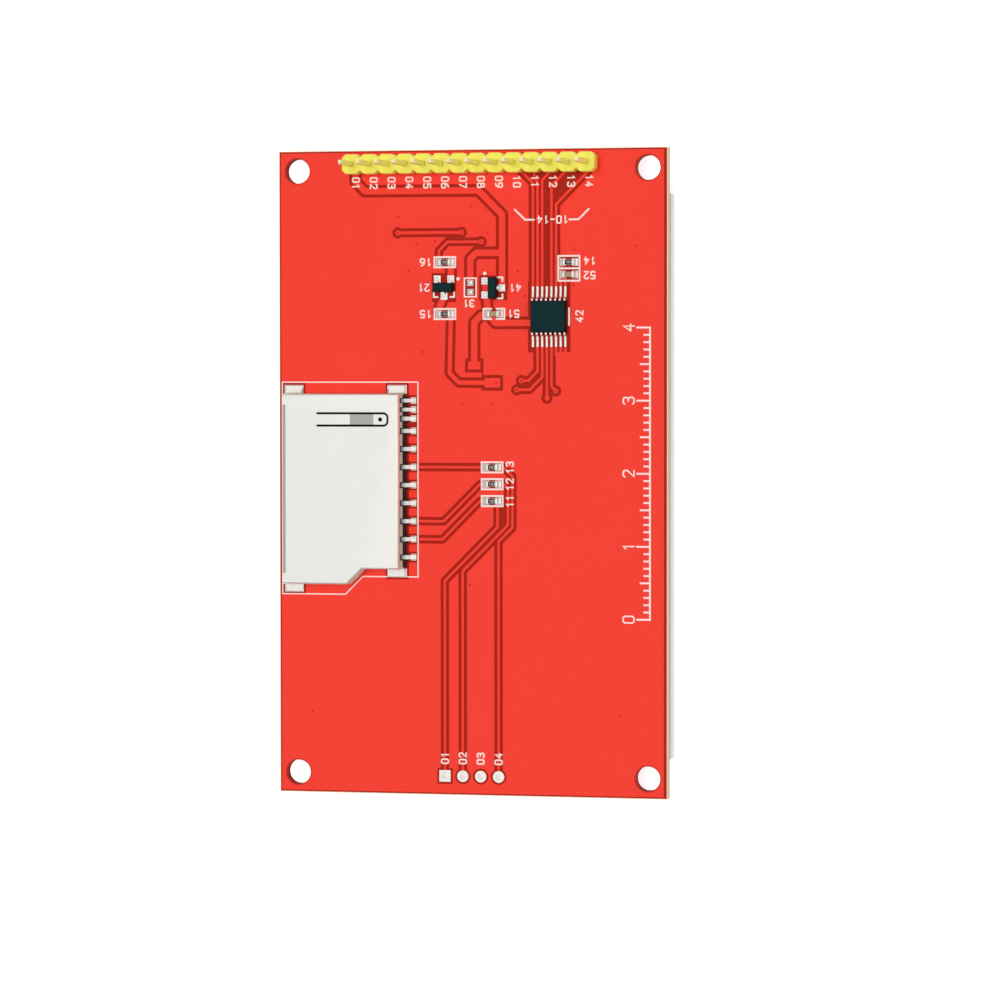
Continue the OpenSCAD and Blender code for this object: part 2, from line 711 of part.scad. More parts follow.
module finger() {
    t = steel_t;
    tip = finger_tip;
    path = [[0, 0], [tip - 7.4, 0], [tip - 5.4, -finger_dip], [tip - 1.85, 0], [tip, 0]];
    translate([mouth_x + finger_from, finger_y, z_pads + shell_h - t]) difference() {
        intersection() {
            rotate([90, 0, 0]) linear_extrude(2 * finger_w, center = true)
                polygon(concat(path, [for (i = [len(path) - 1 : -1 : 0]) path[i] + [0, t]]));
            translate([0, 0, -over]) linear_extrude(2 * over) finger_2d(0);
        }
        translate([tip - 0.9, 0, -over]) cylinder(r = 0.3, h = 3 * over, $fn = 24);
    }
}

// Lip along the mouth, bent down between the shell's two front corners
lip_l = 0.5;
lip_drop = 0.15;
lip_inset = 1.5;
lip_w = shell_w - 2 * lip_inset;
module lip() {
    t = steel_t;
    root = lip_l + 0.1;
    translate([mouth_x, socket_y, z_pads + shell_h]) rotate([90, 0, 0]) linear_extrude(lip_w, center = true)
        polygon([[root, 0], [lip_l, 0], [0.08, -lip_drop], [0.08, -lip_drop - t], [lip_l, -t], [root, -t]]);
}

// Rear wall of the shell, open at its foot and above each lead
wall_z = 0.75;
slot_top = 2.3;
lead_slots = concat([for (i = [1 : 9]) [contact_y(i), contact_w + 0.3]],
    [for (y = switch_ys) [y, switch_w + 0.2]]);
module rear_wall() {
    translate([shell_end_x - steel_t, 0, z_pads]) difference() {
        translate([0, step_y, wall_z]) cube([steel_t, shell_top_y - step_y, shell_h - wall_z]);
        for (slot = lead_slots) translate([-over, slot[0] - slot[1] / 2, 0]) cube([3 * over, slot[1], slot_top]);
    }
}

module sd_shell() {
    top = z_pads + shell_h;
    color(steel) {
        difference() {
            translate([0, 0, z_pads]) linear_extrude(shell_h) socket_2d(0, mouth_x, shell_end_x);
            translate([0, 0, z_pads - over]) linear_extrude(shell_h - steel_t + over)
                socket_2d(steel_t, mouth_x - over, shell_end_x + over);
            translate([mouth_x + finger_from, finger_y, top - over]) linear_extrude(2 * over)
                finger_2d(finger_slot);
            translate([mouth_x - over, socket_y - lip_w / 2, top - over]) cube([lip_l + over, lip_w, 2 * over]);
        }
        finger();
        lip();
        rear_wall();
        for (t = tabs) translate([t[0] - tab_l / 2, t[2] > 0 ? t[1] - steel_t : t[1] - tab_reach, z_pads])
            cube([tab_l, tab_reach + steel_t, steel_t]);
    }
}

// Path of a card contact: foot, step up, run over its tooth and through the rear wall, sprung arm
contact_z = 0.5;
wall_in_x = base_end_x - base_rear;
arm_l = 4.4;
function contact_path(reach) = [[lead_end_x, contact_t / 2], [lead_x, contact_t / 2],
    [tooth_end_x + 0.05, contact_z], [wall_in_x - 0.6, contact_z], [wall_in_x - reach * 0.85, contact_z + 0.9],
    [wall_in_x - reach, contact_z + 0.7]];

module sd_base() {
    slot_w = contact_w + 0.3;
    tooth_h = contact_z - contact_t / 2;
    color(chip_black) translate([0, 0, z_pads]) difference() {
        union() {
            linear_extrude(shell_h - steel_t) socket_2d(steel_t, mouth_x + lip_l, base_end_x);
            // A foot under the shell's rear wall, with a tooth under each lead
            translate([wall_in_x, step_y + steel_t, 0])
                cube([foot_end_x - wall_in_x, shell_top_y - step_y - 2 * steel_t, tooth_h]);
            for (slot = lead_slots) translate([wall_in_x, slot[0] - slot[1] / 2 - 0.2, 0])
                cube([tooth_end_x - wall_in_x, slot[1] + 0.4, tooth_h]);
        }
        translate([0, 0, base_floor]) linear_extrude(shell_h)
            socket_2d(steel_t + base_rail, mouth_x - over, wall_in_x);
        // Slots under the arms, and holes of the contacts' size through the rear wall
        for (i = [1 : 9]) {
            translate([wall_in_x - arm_l - 0.3, contact_y(i) - slot_w / 2, -over])
                cube([arm_l + 0.3, slot_w, 3 * over]);
            translate([wall_in_x - over, contact_y(i) - contact_w / 2, tooth_h])
                cube([base_rear + 2 * over, contact_w, contact_t]);
        }
        for (y = switch_ys) translate([wall_in_x - over, y - switch_w / 2, tooth_h])
            cube([base_rear + 2 * over, switch_w, contact_t]);
    }
}

module sd_contacts() {
    color(gold) for (i = [1 : 9]) translate([0, contact_y(i), z_pads])
        strip(contact_path(arm_l), contact_t, contact_w);
}

switch_reach = 0.9;
module sd_switch_contacts() {
    color(gold) for (y = switch_ys) translate([0, y, z_pads])
        strip([[lead_end_x, contact_t / 2], [lead_x, contact_t / 2], [tooth_end_x + 0.05, contact_z],
            [wall_in_x - switch_reach, contact_z]], contact_t, switch_w);
}

module touch_controller_body() {
    color(chip_black) translate([controller[0], controller[1], z_pads + stand_off])
        drafted_block(controller_l, controller_w, controller_h, lead_band);
}

module touch_controller_leads() {
    color(tin) for (i = [1 : 8], s = [-1, 1]) translate([lead_pin_x(i), controller[1], z_pads])
        rotate([0, 0, s * 90]) gull_lead(controller_w / 2, 1, controller_h, 0.24);
}

module small_body(at, turn) {
    color(chip_black) translate([at[0], at[1], z_pads + stand_off]) rotate([0, 0, turn])
        drafted_block(small_body_l, small_body_w, small_body_h, lead_band);
}

module small_leads_of(at, turn) {
    color(tin) translate([at[0], at[1], z_pads]) rotate([0, 0, turn])
        for (p = small_leads()) translate([p[0], 0, 0]) rotate([0, 0, p[1] > 0 ? 90 : -90])
            gull_lead(small_body_w / 2, 0.65, small_body_h, 0.42);
}

module regulator_body() {
    small_body(regulator, regulator_turn);
}

module regulator_leads() {
    small_leads_of(regulator, regulator_turn);
}

module transistor_body() {
    small_body(transistor, transistor_turn);
}

module transistor_leads() {
    small_leads_of(transistor, transistor_turn);
}

// A chip part: a body between two end caps that stand a little proud of it
cap_l = 0.35;
cap_proud = 0.03;
module chip(at, h) {
    translate([at[0], at[1], z_pads]) {
        translate([-chip_l / 2 + cap_l, -chip_w / 2 + cap_proud, cap_proud])
            cube([chip_l - 2 * cap_l, chip_w - 2 * cap_proud, h - 2 * cap_proud]);
        for (x = [-chip_l / 2, chip_l / 2 - cap_l]) translate([x, -chip_w / 2, 0]) cube([cap_l, chip_w, h]);
    }
}

module resistor(i) {
    color(chip_black) chip(resistors[i - 1], resistor_h);
}

module capacitor(i) {
    color(tan_plastic) chip(capacitors[i - 1], capacitor_h);
}

// Two strips of foam tape between the display's back and the board
foam_w = 15;
module mounting_tape() {
    low = display_low_y + 11;
    color("whitesmoke") for (s = [-1, 1])
        translate([s * (display_w / 2 - 2 - foam_w / 2) - foam_w / 2, low, z_foam])
            cube([foam_w, display_top_y - 2 - low, foam_t]);
}

module plate(w, low_y, l, z, t) {
    translate([-w / 2, low_y, z]) cube([w, l, t]);
}

module reflector_sheet() {
    m = 0.5;
    color("white") plate(display_w - 2 * m, display_low_y + m, display_l - 2 * m, z_reflector, reflector_t);
}

module light_guide() {
    color("aliceblue") plate(well_w - 0.2, well_low_y + led_strip_w + 0.2, well_l - led_strip_w - 0.3, z_guide,
        guide_t);
}

module led_strip() {
    w = well_w - 4;
    color("khaki") {
        plate(w, well_low_y + 0.1, led_strip_w, z_reflector - led_strip_t, led_strip_t);
        for (i = [1 : led_count]) translate([(i - (led_count + 1) / 2) * w / led_count - led_size[0] / 2,
            well_low_y + led_strip_w - led_size[1], z_reflector - led_strip_t - led_size[2]]) cube(led_size);
    }
}

module diffuser_sheet() {
    color("ghostwhite") plate(well_w - 0.3, well_low_y + 0.15, well_l - 0.3, z_diffuser, sheet_t);
}

module prism_sheet() {
    color("lightgray") plate(well_w - 0.3, well_low_y + 0.15, well_l - 0.3, z_prism, sheet_t);
}

module backlight_frame() {
    color(frame_white) difference() {
        plate(display_w, display_low_y, display_l, z_frame, z_reflector - z_frame);
        plate(display_w - 2 * frame_wall, display_low_y + frame_wall, display_l - 2 * frame_wall,
            z_frame - over, z_ledge - z_frame + over);
        plate(well_w, well_low_y, well_l, z_ledge - over, z_reflector);
        // Way out for the flex cable
        translate([flex_x - flex_w / 2 - 0.2, display_low_y - over, z_frame - over])
            cube([flex_w + 0.4, frame_wall + 2 * over, z_rear_glass - z_frame + over]);
    }
}

module rear_polarizer() {
    color("dimgray") plate(well_w - 0.6, well_low_y + 0.3, well_l - 0.6, z_ledge, polarizer_t);
}

module lcd_rear_glass() {
    color("lightcyan") plate(cell_w, cell_low_y, cell_l, z_rear_glass, glass_t);
}

module lcd_front_glass() {
    color("lightcyan") plate(cell_w, cell_low_y + chip_ledge, cell_l - chip_ledge, z_front_glass, glass_t);
}

module front_polarizer() {
    color("dimgray") plate(cell_w - 1, cell_low_y + chip_ledge + 0.5, cell_l - chip_ledge - 1, z_frame,
        polarizer_t);
}

module driver_chip() {
    color(chip_black) translate([flex_x - driver_l / 2, cell_low_y + flex_bond + 0.4, z_rear_glass - driver_h])
        cube([driver_l, driver_w, driver_h]);
}

// A flex cable seen from its side: out of the display, round a half turn and back along the board
function arc(y, z, r) = [for (i = [0 : 24]) [y - r * sin(i * 7.5), z - r * cos(i * 7.5)]];
module bent_flex(x, w, t, from_y, low, back) {
    high = z_front_mask;
    mid = (low + high) / 2;
    r = (high - low) / 2;
    inner = arc(bend_y, mid, r - t);
    translate([x, 0, 0]) rotate([90, 0, 90]) linear_extrude(w, center = true)
        polygon(concat([[from_y, low]], arc(bend_y, mid, r), [[bend_y + back, high], [bend_y + back, high - t]],
            [for (i = [24 : -1 : 0]) inner[i]], [[from_y, low + t]]));
}

module lcd_flex_cable() {
    color(flex_amber) bent_flex(flex_x, flex_w, flex_t, cell_low_y + flex_bond, z_rear_glass - flex_t,
        flex_back);
}

module touch_tape() {
    color("black") translate([0, display_y, z_touch_tape]) linear_extrude(touch_tape_t)
        frame_2d([panel_w, panel_l], border_w);
}

module touch_glass() {
    color("lightcyan") plate(panel_w, panel_low_y, panel_l, z_touch_glass, touch_glass_t);
}

module touch_spacer() {
    color("gray") translate([0, display_y, z_spacer]) linear_extrude(spacer_t) difference() {
        frame_2d([panel_w, panel_l], border_w);
        translate([tail_x - tail_w / 2 - 0.1, -panel_l]) square([tail_w + 0.2, panel_l / 2 + border_w]);
    }
}

module touch_film() {
    color("lightblue") plate(panel_w, panel_low_y, panel_l, 0, film_t);
}

module touch_flex_tail() {
    color(flex_amber) bent_flex(tail_x, tail_w, spacer_t, panel_low_y + tail_bond, z_spacer, tail_back);
}

board();
rear_copper();
rear_mask();
front_mask();
rear_silkscreen();
rear_pads();
front_pads();
header_housing();
header_pin(1);  // header_pin_1
header_pin(2);  // header_pin_2
header_pin(3);  // header_pin_3
header_pin(4);  // header_pin_4
header_pin(5);  // header_pin_5
header_pin(6);  // header_pin_6
header_pin(7);  // header_pin_7
header_pin(8);  // header_pin_8
header_pin(9);  // header_pin_9
header_pin(10);  // header_pin_10
header_pin(11);  // header_pin_11
header_pin(12);  // header_pin_12
header_pin(13);  // header_pin_13
header_pin(14);  // header_pin_14
header_solder();
sd_shell();
sd_base();
sd_contacts();
sd_switch_contacts();
touch_controller_body();
touch_controller_leads();
regulator_body();
regulator_leads();
transistor_body();
transistor_leads();
resistor(1);  // resistor_1
resistor(2);  // resistor_2
resistor(3);  // resistor_3
resistor(4);  // resistor_4
resistor(5);  // resistor_5
resistor(6);  // resistor_6
capacitor(1);  // capacitor_1
capacitor(2);  // capacitor_2
mounting_tape();
reflector_sheet();
light_guide();
led_strip();
diffuser_sheet();
prism_sheet();
backlight_frame();
rear_polarizer();
lcd_rear_glass();
driver_chip();
lcd_front_glass();
front_polarizer();
lcd_flex_cable();
touch_tape();
touch_glass();
touch_spacer();
touch_film();
touch_flex_tail();
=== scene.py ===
"""Looks of a small touch display module that lies on its display, with its red circuit board up.

Every length in this file is in millimetres until a mesh is made. Every piece stands in the frame of the
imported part: X to the right, Y towards the pin header and Z up from the display's face.
"""

import logging
import math
from collections import defaultdict
from collections.abc import Callable, Iterable, Sequence
from dataclasses import dataclass, field
from enum import Enum, IntEnum

import bmesh
import bpy
from mathutils import Euler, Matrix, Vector


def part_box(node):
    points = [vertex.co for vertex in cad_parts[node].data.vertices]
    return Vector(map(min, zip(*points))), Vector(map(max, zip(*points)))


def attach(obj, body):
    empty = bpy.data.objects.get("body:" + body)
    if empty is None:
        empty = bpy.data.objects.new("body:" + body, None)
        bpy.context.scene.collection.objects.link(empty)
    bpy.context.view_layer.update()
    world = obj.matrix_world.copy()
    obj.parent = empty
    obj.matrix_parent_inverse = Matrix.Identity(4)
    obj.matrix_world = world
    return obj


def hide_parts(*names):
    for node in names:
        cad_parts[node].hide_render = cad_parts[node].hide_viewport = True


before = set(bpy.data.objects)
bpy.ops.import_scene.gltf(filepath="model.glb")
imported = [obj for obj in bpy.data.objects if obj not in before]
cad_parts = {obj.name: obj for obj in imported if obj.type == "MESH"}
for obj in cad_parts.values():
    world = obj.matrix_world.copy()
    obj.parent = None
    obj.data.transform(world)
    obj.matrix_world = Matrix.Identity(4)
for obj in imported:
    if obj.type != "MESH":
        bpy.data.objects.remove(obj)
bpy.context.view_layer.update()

LOG = logging.getLogger("display_module")
MM = 0.001

# A round corner's radius stays under a side divided by this, so that two corners never meet.
OVER_TWO = 2.001
# Bounds on how far the sides of a broad line stand out at a sharp bend.
LEAST_LEAN = 0.1
MOST_MITRE = 1.5
# Points of a CAD mesh closer than the gap are one, and faces that turn by less than the angle are flat.
WELD_GAP = 0.0002
FLAT_TURN = 0.6
# Steps round a turned part, and the angle under which the edges of a rounded piece are shaded smooth.
ROUND_STEPS = 28
SOFT_SHADE = 35.0

Flat = tuple[float, float]
Point = tuple[float, float, float]
Rgb = tuple[float, float, float]
Rgba = tuple[float, float, float, float]
Area = tuple[Flat, Flat]
Box = tuple[Point, Point]
Socket = bpy.types.NodeSocket
Sockets = bpy.types.bpy_prop_collection
Material = bpy.types.Material
Piece = bpy.types.Object


def linear(colour: Rgb) -> Rgba:
    """Turns a display colour into the linear one that shaders take.

    Args:
        colour: Red, green and blue from 0 to 1, as seen on a screen.

    Returns:
        The linear colour with an alpha of 1.
    """
    parts = [c / 12.92 if c <= 0.04045 else ((c + 0.055) / 1.055) ** 2.4 for c in colour]
    return (*parts, 1.0)


def node_box(node: str) -> Box:
    """Gives the lowest and highest corner of a CAD node, in millimetres."""
    low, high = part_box(node)
    return (tuple(c / MM for c in low), tuple(c / MM for c in high))


def middle(box: Box) -> Point:
    """Gives the centre of a box."""
    return tuple((a + b) / 2 for a, b in zip(*box))


# ---------------------------------------------------------------- shader graphs


class Graph:
    """A node tree that is written one node at a time."""

    def __init__(self, tree: bpy.types.NodeTree) -> None:
        """Takes over a tree and empties it.

        Args:
            tree: Tree that the nodes go into.
        """
        self.tree = tree
        tree.nodes.clear()

    def add(self, kind: str, settings: dict[str, object] | None = None, **values: object) -> bpy.types.Node:
        """Adds a node, sets it up and links or sets its inputs.

        Args:
            kind: Type name of the node, without "ShaderNode".
            settings: Properties of the node.
            **values: Inputs by name with "_" for each space, each a socket to link or a value.

        Returns:
            The new node.
        """
        node = self.tree.nodes.new("ShaderNode" + kind)
        for key, value in (settings or {}).items():
            setattr(node, key, value)
        for key, value in values.items():
            self.feed(node.inputs[key.replace("_", " ")], value)
        return node

    def feed(self, socket: Socket, value: object) -> None:
        """Links an input socket to an output socket, or sets its value.

        Args:
            socket: Input socket.
            value: Output socket, or a plain value.
        """
        if isinstance(value, Socket):
            self.tree.links.new(value, socket)
        else:
            socket.default_value = value

    def mix(self, factor: object, a: object, b: object) -> Socket:
        """Mixes two colours.

        Args:
            factor: Share of the second colour.
            a: First colour.
            b: Second colour.

        Returns:
            The mixed colour.
        """
        node = self.add("Mix", {"data_type": "RGBA"})
        for socket, value in zip((node.inputs[0], node.inputs[6], node.inputs[7]), (factor, a, b)):
            self.feed(socket, value)
        return node.outputs[2]

    def sum(self, operation: str, *values: object, clamp: bool = False) -> Socket:
        """Works out a number.

        Args:
            operation: Name of the operation.
            *values: Sockets or numbers that go in.
            clamp: Keeps the result from 0 to 1.

        Returns:
            The result.
        """
        node = self.add("Math", {"operation": operation, "use_clamp": clamp})
        for socket, value in zip(node.inputs, values):
            self.feed(socket, value)
        return node.outputs[0]

    def place(self) -> Socket:
        """Gives the place on the object, in metres."""
        return self.add("TexCoord").outputs["Object"]

    def along(self, axis: str) -> Socket:
        """Gives the place along one axis, in metres."""
        return self.add("SeparateXYZ", Vector=self.place()).outputs[axis]

    def stretched(self, scale: object) -> Socket:
        """Gives the place on the object, scaled along each axis."""
        return self.add("Mapping", Vector=self.place(), Scale=scale).outputs[0]

    def noise(self, scale: object, detail: float = 2.0, place: Socket | None = None) -> Socket:
        """Gives cloudy noise over the object.

        Args:
            scale: Clouds in a metre, as a number or a socket.
            detail: Steps of finer clouds in it.
            place: Place to take it at, where it isn't the plain one.

        Returns:
            The noise, from 0 to 1.
        """
        place = self.place() if place is None else place
        return self.add("TexNoise", Vector=place, Scale=scale, Detail=detail).outputs[0]

    def inside(self, area: Area) -> Socket:
        """Gives 1 inside a rectangle seen from above, and 0 outside it.

        Args:
            area: Lowest and highest corner of the rectangle.

        Returns:
            The mask.
        """
        tests = []
        for axis, low, high in zip("XY", *area):
            place = self.along(axis)
            above = self.sum("GREATER_THAN", place, low * MM)
            tests.append(self.sum("MULTIPLY", above, self.sum("LESS_THAN", place, high * MM)))
        return self.sum("MULTIPLY", *tests)


class Effect(Enum):
    """Effects that several finishes share, each one node group: its name, inputs and output."""

    TONE = ("drifting tone", {"Colour": "Color", "Amount": "Float", "Scale": "Float"}, "Color")
    SHEEN = ("uneven sheen", {"Roughness": "Float", "Amount": "Float", "Scale": "Float"}, "Float")
    GRAIN = ("moulded grain", {"Scale": "Float"}, "Float")
    STREAKS = ("rolling streaks", {"Scale": "Float", "Stretch": "Vector"}, "Float")
    DUST = ("settled dust", {"Colour": "Color", "Amount": "Float", "Scale": "Float"}, "Color")


class Effects:
    """Builds each shared effect once and places it in materials."""

    fine_tone: float = 9.0
    fine_share: float = 0.4
    speck_size: float = 0.09
    dusty_above: float = 0.62
    dust_patches: float = 300.0
    dust_colour: Rgba = (0.62, 0.6, 0.56, 1.0)

    def __init__(self) -> None:
        """Starts with no groups built."""
        self.groups: dict[Effect, bpy.types.NodeTree] = {}
        self.makers: dict[Effect, Callable[[Graph, Sockets], Socket]] = {
            Effect.TONE: self._tone,
            Effect.SHEEN: self._sheen,
            Effect.GRAIN: self._grain,
            Effect.STREAKS: self._streaks,
            Effect.DUST: self._dust,
        }

    def place(self, graph: Graph, effect: Effect, **values: object) -> Socket:
        """Places an effect in a material.

        Args:
            graph: Graph of the material.
            effect: The effect.
            **values: Inputs of the effect by name.

        Returns:
            The effect's output.
        """
        if effect not in self.groups:
            self.groups[effect] = self._build(effect)
        return graph.add("Group", {"node_tree": self.groups[effect]}, **values).outputs[0]

    def _build(self, effect: Effect) -> bpy.types.NodeTree:
        """Builds the node group of an effect.

        Args:
            effect: The effect.

        Returns:
            Its group.
        """
        name, inputs, result = effect.value
        tree = bpy.data.node_groups.new(name, "ShaderNodeTree")
        for key, kind in inputs.items():
            tree.interface.new_socket(key, in_out="INPUT", socket_type="NodeSocket" + kind)
        tree.interface.new_socket("Result", in_out="OUTPUT", socket_type="NodeSocket" + result)
        graph = Graph(tree)
        made = self.makers[effect](graph, tree.nodes.new("NodeGroupInput").outputs)
        graph.feed(tree.nodes.new("NodeGroupOutput").inputs[0], made)
        return tree

    def _tone(self, graph: Graph, given: Sockets) -> Socket:
        """Lets a colour drift a little lighter and darker.

        Args:
            graph: Graph of the group.
            given: The group's inputs.

        Returns:
            The colour.
        """
        fine = graph.noise(graph.sum("MULTIPLY", given["Scale"], self.fine_tone))
        broad = graph.sum("MULTIPLY", graph.noise(given["Scale"], 3.0), 1.0 - self.fine_share)
        both = graph.sum("MULTIPLY_ADD", fine, self.fine_share, broad)
        swing = graph.sum("MULTIPLY", graph.sum("SUBTRACT", both, 0.5), given["Amount"])
        value = graph.sum("ADD", swing, 1.0)
        return graph.add("HueSaturation", Color=given["Colour"], Value=value).outputs[0]

    def _sheen(self, graph: Graph, given: Sockets) -> Socket:
        """Breaks up a roughness with faint smears.

        Args:
            graph: Graph of the group.
            given: The group's inputs.

        Returns:
            The roughness.
        """
        smear = graph.add("TexNoise", Vector=graph.place(), Scale=given["Scale"], Detail=4.0, Distortion=0.6)
        swing = graph.sum("SUBTRACT", smear.outputs[0], 0.5)
        return graph.sum("MULTIPLY_ADD", swing, given["Amount"], given["Roughness"], clamp=True)

    def _grain(self, graph: Graph, given: Sockets) -> Socket:
        """Gives the fine pitted skin of moulded and printed surfaces."""
        pits = graph.add("TexVoronoi", {"feature": "SMOOTH_F1"}, Vector=graph.place(), Scale=given["Scale"])
        return graph.sum("MULTIPLY_ADD", pits.outputs["Distance"], 0.5, graph.noise(given["Scale"], 3.0))

    def _streaks(self, graph: Graph, given: Sockets) -> Socket:
        """Gives the long fine streaks of rolled or drawn metal."""
        return graph.noise(given["Scale"], 5.0, graph.stretched(given["Stretch"]))

    def _dust(self, graph: Graph, given: Sockets) -> Socket:
        """Settles pale dust in spots on what faces up.

        Args:
            graph: Graph of the group.
            given: The group's inputs.

        Returns:
            The colour.
        """
        spots = graph.add("TexVoronoi", Vector=graph.place(), Scale=given["Scale"])
        speck = graph.sum("LESS_THAN", spots.outputs["Distance"], self.speck_size)
        dusty = graph.sum("GREATER_THAN", graph.noise(self.dust_patches), self.dusty_above)
        normal = graph.add("NewGeometry").outputs["Normal"]
        facing = graph.add("SeparateXYZ", Vector=normal).outputs["Z"]
        amount = graph.sum("MULTIPLY", facing, given["Amount"], clamp=True)
        mask = graph.sum("MULTIPLY", graph.sum("MULTIPLY", speck, dusty), amount)
        return graph.mix(mask, given["Colour"], self.dust_colour)


# --------------------------------------------------------------------- finishes


@dataclass(frozen=True)
class Finish:
    """A finish of even colour that drifts a little, with a fine grain and a broken-up sheen.

    Scales are per metre, and bump depths are in millimetres.
    """

    slot: str
    colour: Rgb
    roughness: float = 0.5
    metallic: float = 0.0
    drift: float = 0.1
    drift_scale: float = 180.0
    smear: float = 0.12
    smear_scale: float = 260.0
    grain: float = 0.0
    grain_scale: float = 6000.0
    coat: float = 0.0
    coat_roughness: float = 0.12
    dust: float = 0.0
    dust_scale: float = 1500.0
    specular: float = 0.5

    def tone(self, graph: Graph, effects: Effects) -> Socket:
        """Gives the colour over the surface.

        Args:
            graph: Graph of the material.
            effects: The shared effects.

        Returns:
            The colour.
        """
        plain = linear(self.colour)
        colour = effects.place(graph, Effect.TONE, Colour=plain, Amount=self.drift, Scale=self.drift_scale)
        if self.dust:
            colour = effects.place(graph, Effect.DUST, Colour=colour, Amount=self.dust, Scale=self.dust_scale)
        return colour

    def height(self, graph: Graph, effects: Effects) -> Socket:
        """Gives the height of the surface's grain.

        Args:
            graph: Graph of the material.
            effects: The shared effects.

        Returns:
            The height.
        """
        return effects.place(graph, Effect.GRAIN, Scale=self.grain_scale)

    def settle(self, shader: bpy.types.Node) -> None:
        """Sets what is the same all over the surface.

        Args:
            shader: The material's Principled BSDF.
        """
        shader.inputs["Metallic"].default_value = self.metallic
        shader.inputs["Specular IOR Level"].default_value = self.specular
        shader.inputs["Coat Weight"].default_value = self.coat
        shader.inputs["Coat Roughness"].default_value = self.coat_roughness

    def make(self, effects: Effects) -> Material:
        """Makes the material.

        Args:
            effects: The shared effects.

        Returns:
            The material.
        """
        material = bpy.data.materials.new(self.slot)
        material.use_nodes = True
        graph = Graph(material.node_tree)
        smears = {"Roughness": self.roughness, "Amount": self.smear, "Scale": self.smear_scale}
        colour, rough = self.tone(graph, effects), effects.place(graph, Effect.SHEEN, **smears)
        shader = graph.add("BsdfPrincipled", Base_Color=colour, Roughness=rough)
        self.settle(shader)
        if self.grain:
            height = self.height(graph, effects)
            bump = graph.add("Bump", Strength=1.0, Distance=self.grain * MM, Height=height)
            graph.feed(shader.inputs["Normal"], bump.outputs[0])
        graph.add("OutputMaterial", Surface=shader.outputs[0])
        return material


@dataclass(frozen=True)
class LaminateFinish(Finish):
    """Glass-fibre laminate: layers on the cut edges, weave on the faces, and a painted shade of dark red on
    the walls of its holes.
    """

    layer: Rgba = (0.42, 0.17, 0.05, 1.0)
    layer_share: float = 0.2
    layer_stretch: Point = (60.0, 60.0, 5200.0)
    weave_scale: float = 1700.0
    # Dark red painted shade for the hole walls, which lie inside the board's outline.
    drilled: Rgb = (0.78, 0.24, 0.18)
    drilled_area: Area = ((-26.72, -43.85), (26.72, 43.85))

    def tone(self, graph: Graph, effects: Effects) -> Socket:
        """Gives the laminate's colour, darker between the layers, with a painted shade of dark red in the
        holes.

        Args:
            graph: Graph of the material.
            effects: The shared effects.

        Returns:
            The colour.
        """
        layers = graph.noise(1.0, 2.0, graph.stretched(self.layer_stretch))
        mask = graph.sum("MULTIPLY", layers, self.layer_share, clamp=True)
        layered = graph.mix(mask, super().tone(graph, effects), self.layer)
        return graph.mix(graph.inside(self.drilled_area), layered, linear(self.drilled))

    def height(self, graph: Graph, effects: Effects) -> Socket:
        """Gives the height of the weave's crossing threads.

        Args:
            graph: Graph of the material.
            effects: The shared effects, not used here.

        Returns:
            The height.
        """
        threads = [
            graph.add("TexWave", {"bands_direction": axis}, Vector=graph.place(), Scale=self.weave_scale)
            for axis in "XY"
        ]
        return graph.sum("MAXIMUM", *(thread.outputs[1] for thread in threads))


@dataclass(frozen=True)
class LacquerFinish(Finish):
    """Glossy solder lacquer with a slight ripple."""

    ripple_scale: float = 900.0
    fine_ripple: float = 6.0
    fine_share: float = 0.25

    def height(self, graph: Graph, effects: Effects) -> Socket:
        """Gives the height of the lacquer's ripple."""
        fine = graph.noise(self.ripple_scale * self.fine_ripple, 1.0)
        return graph.sum("MULTIPLY_ADD", fine, self.fine_share, graph.noise(self.ripple_scale))


@dataclass(frozen=True)
class StreakedFinish(Finish):
    """Rolled or drawn metal, or a stretched film, with long fine streaks."""

    stretch: Point = (0.05, 1.0, 1.0)
    streak_scale: float = 7000.0

    def height(self, graph: Graph, effects: Effects) -> Socket:
        """Gives the height of the streaks."""
        return effects.place(graph, Effect.STREAKS, Scale=self.streak_scale, Stretch=self.stretch)


@dataclass(frozen=True)
class TippedFinish(StreakedFinish):
    """Plated wire or strip, whose ends past a place along one axis have another colour than the rest: on the
    pins the paler ends are a painted highlight, and on the contacts the dark rest inside the socket is partly
    painted shade.
    """

    axis: str = "Z"
    tip: Rgb = (1.0, 0.96, 0.78)
    tip_from: float = 14.0
    blend: float = 0.35

    def tone(self, graph: Graph, effects: Effects) -> Socket:
        """Gives the metal's colour, which turns into the end colour; on the header pins that end colour is a
        painted highlight.

        Args:
            graph: Graph of the material.
            effects: The shared effects.

        Returns:
            The colour.
        """
        first, last = self.tip_from * MM, (self.tip_from + self.blend) * MM
        ends = graph.add("MapRange", Value=graph.along(self.axis), From_Min=first, From_Max=last)
        return graph.mix(ends.outputs[0], super().tone(graph, effects), linear(self.tip))


@dataclass(frozen=True)
class ConductorFinish(Finish):
    """A film cable: amber film over copper conductors that run along Y and follow its bend."""

    conductor: Rgb = (0.62, 0.3, 0.12)
    pitch: float = 0.55
    half_width: float = 0.27
    share: float = 0.75

    def tone(self, graph: Graph, effects: Effects) -> Socket:
        """Gives the film's colour, with a darker line over each conductor.

        Args:
            graph: Graph of the material.
            effects: The shared effects.

        Returns:
            The colour.
        """
        turn = graph.sum("FRACT", graph.sum("MULTIPLY", graph.along("X"), 1 / (self.pitch * MM)))
        offset = graph.sum("ABSOLUTE", graph.sum("SUBTRACT", turn, 0.5))
        line = graph.sum("MULTIPLY", graph.sum("LESS_THAN", offset, self.half_width), self.share)
        return graph.mix(line, super().tone(graph, effects), linear(self.conductor))


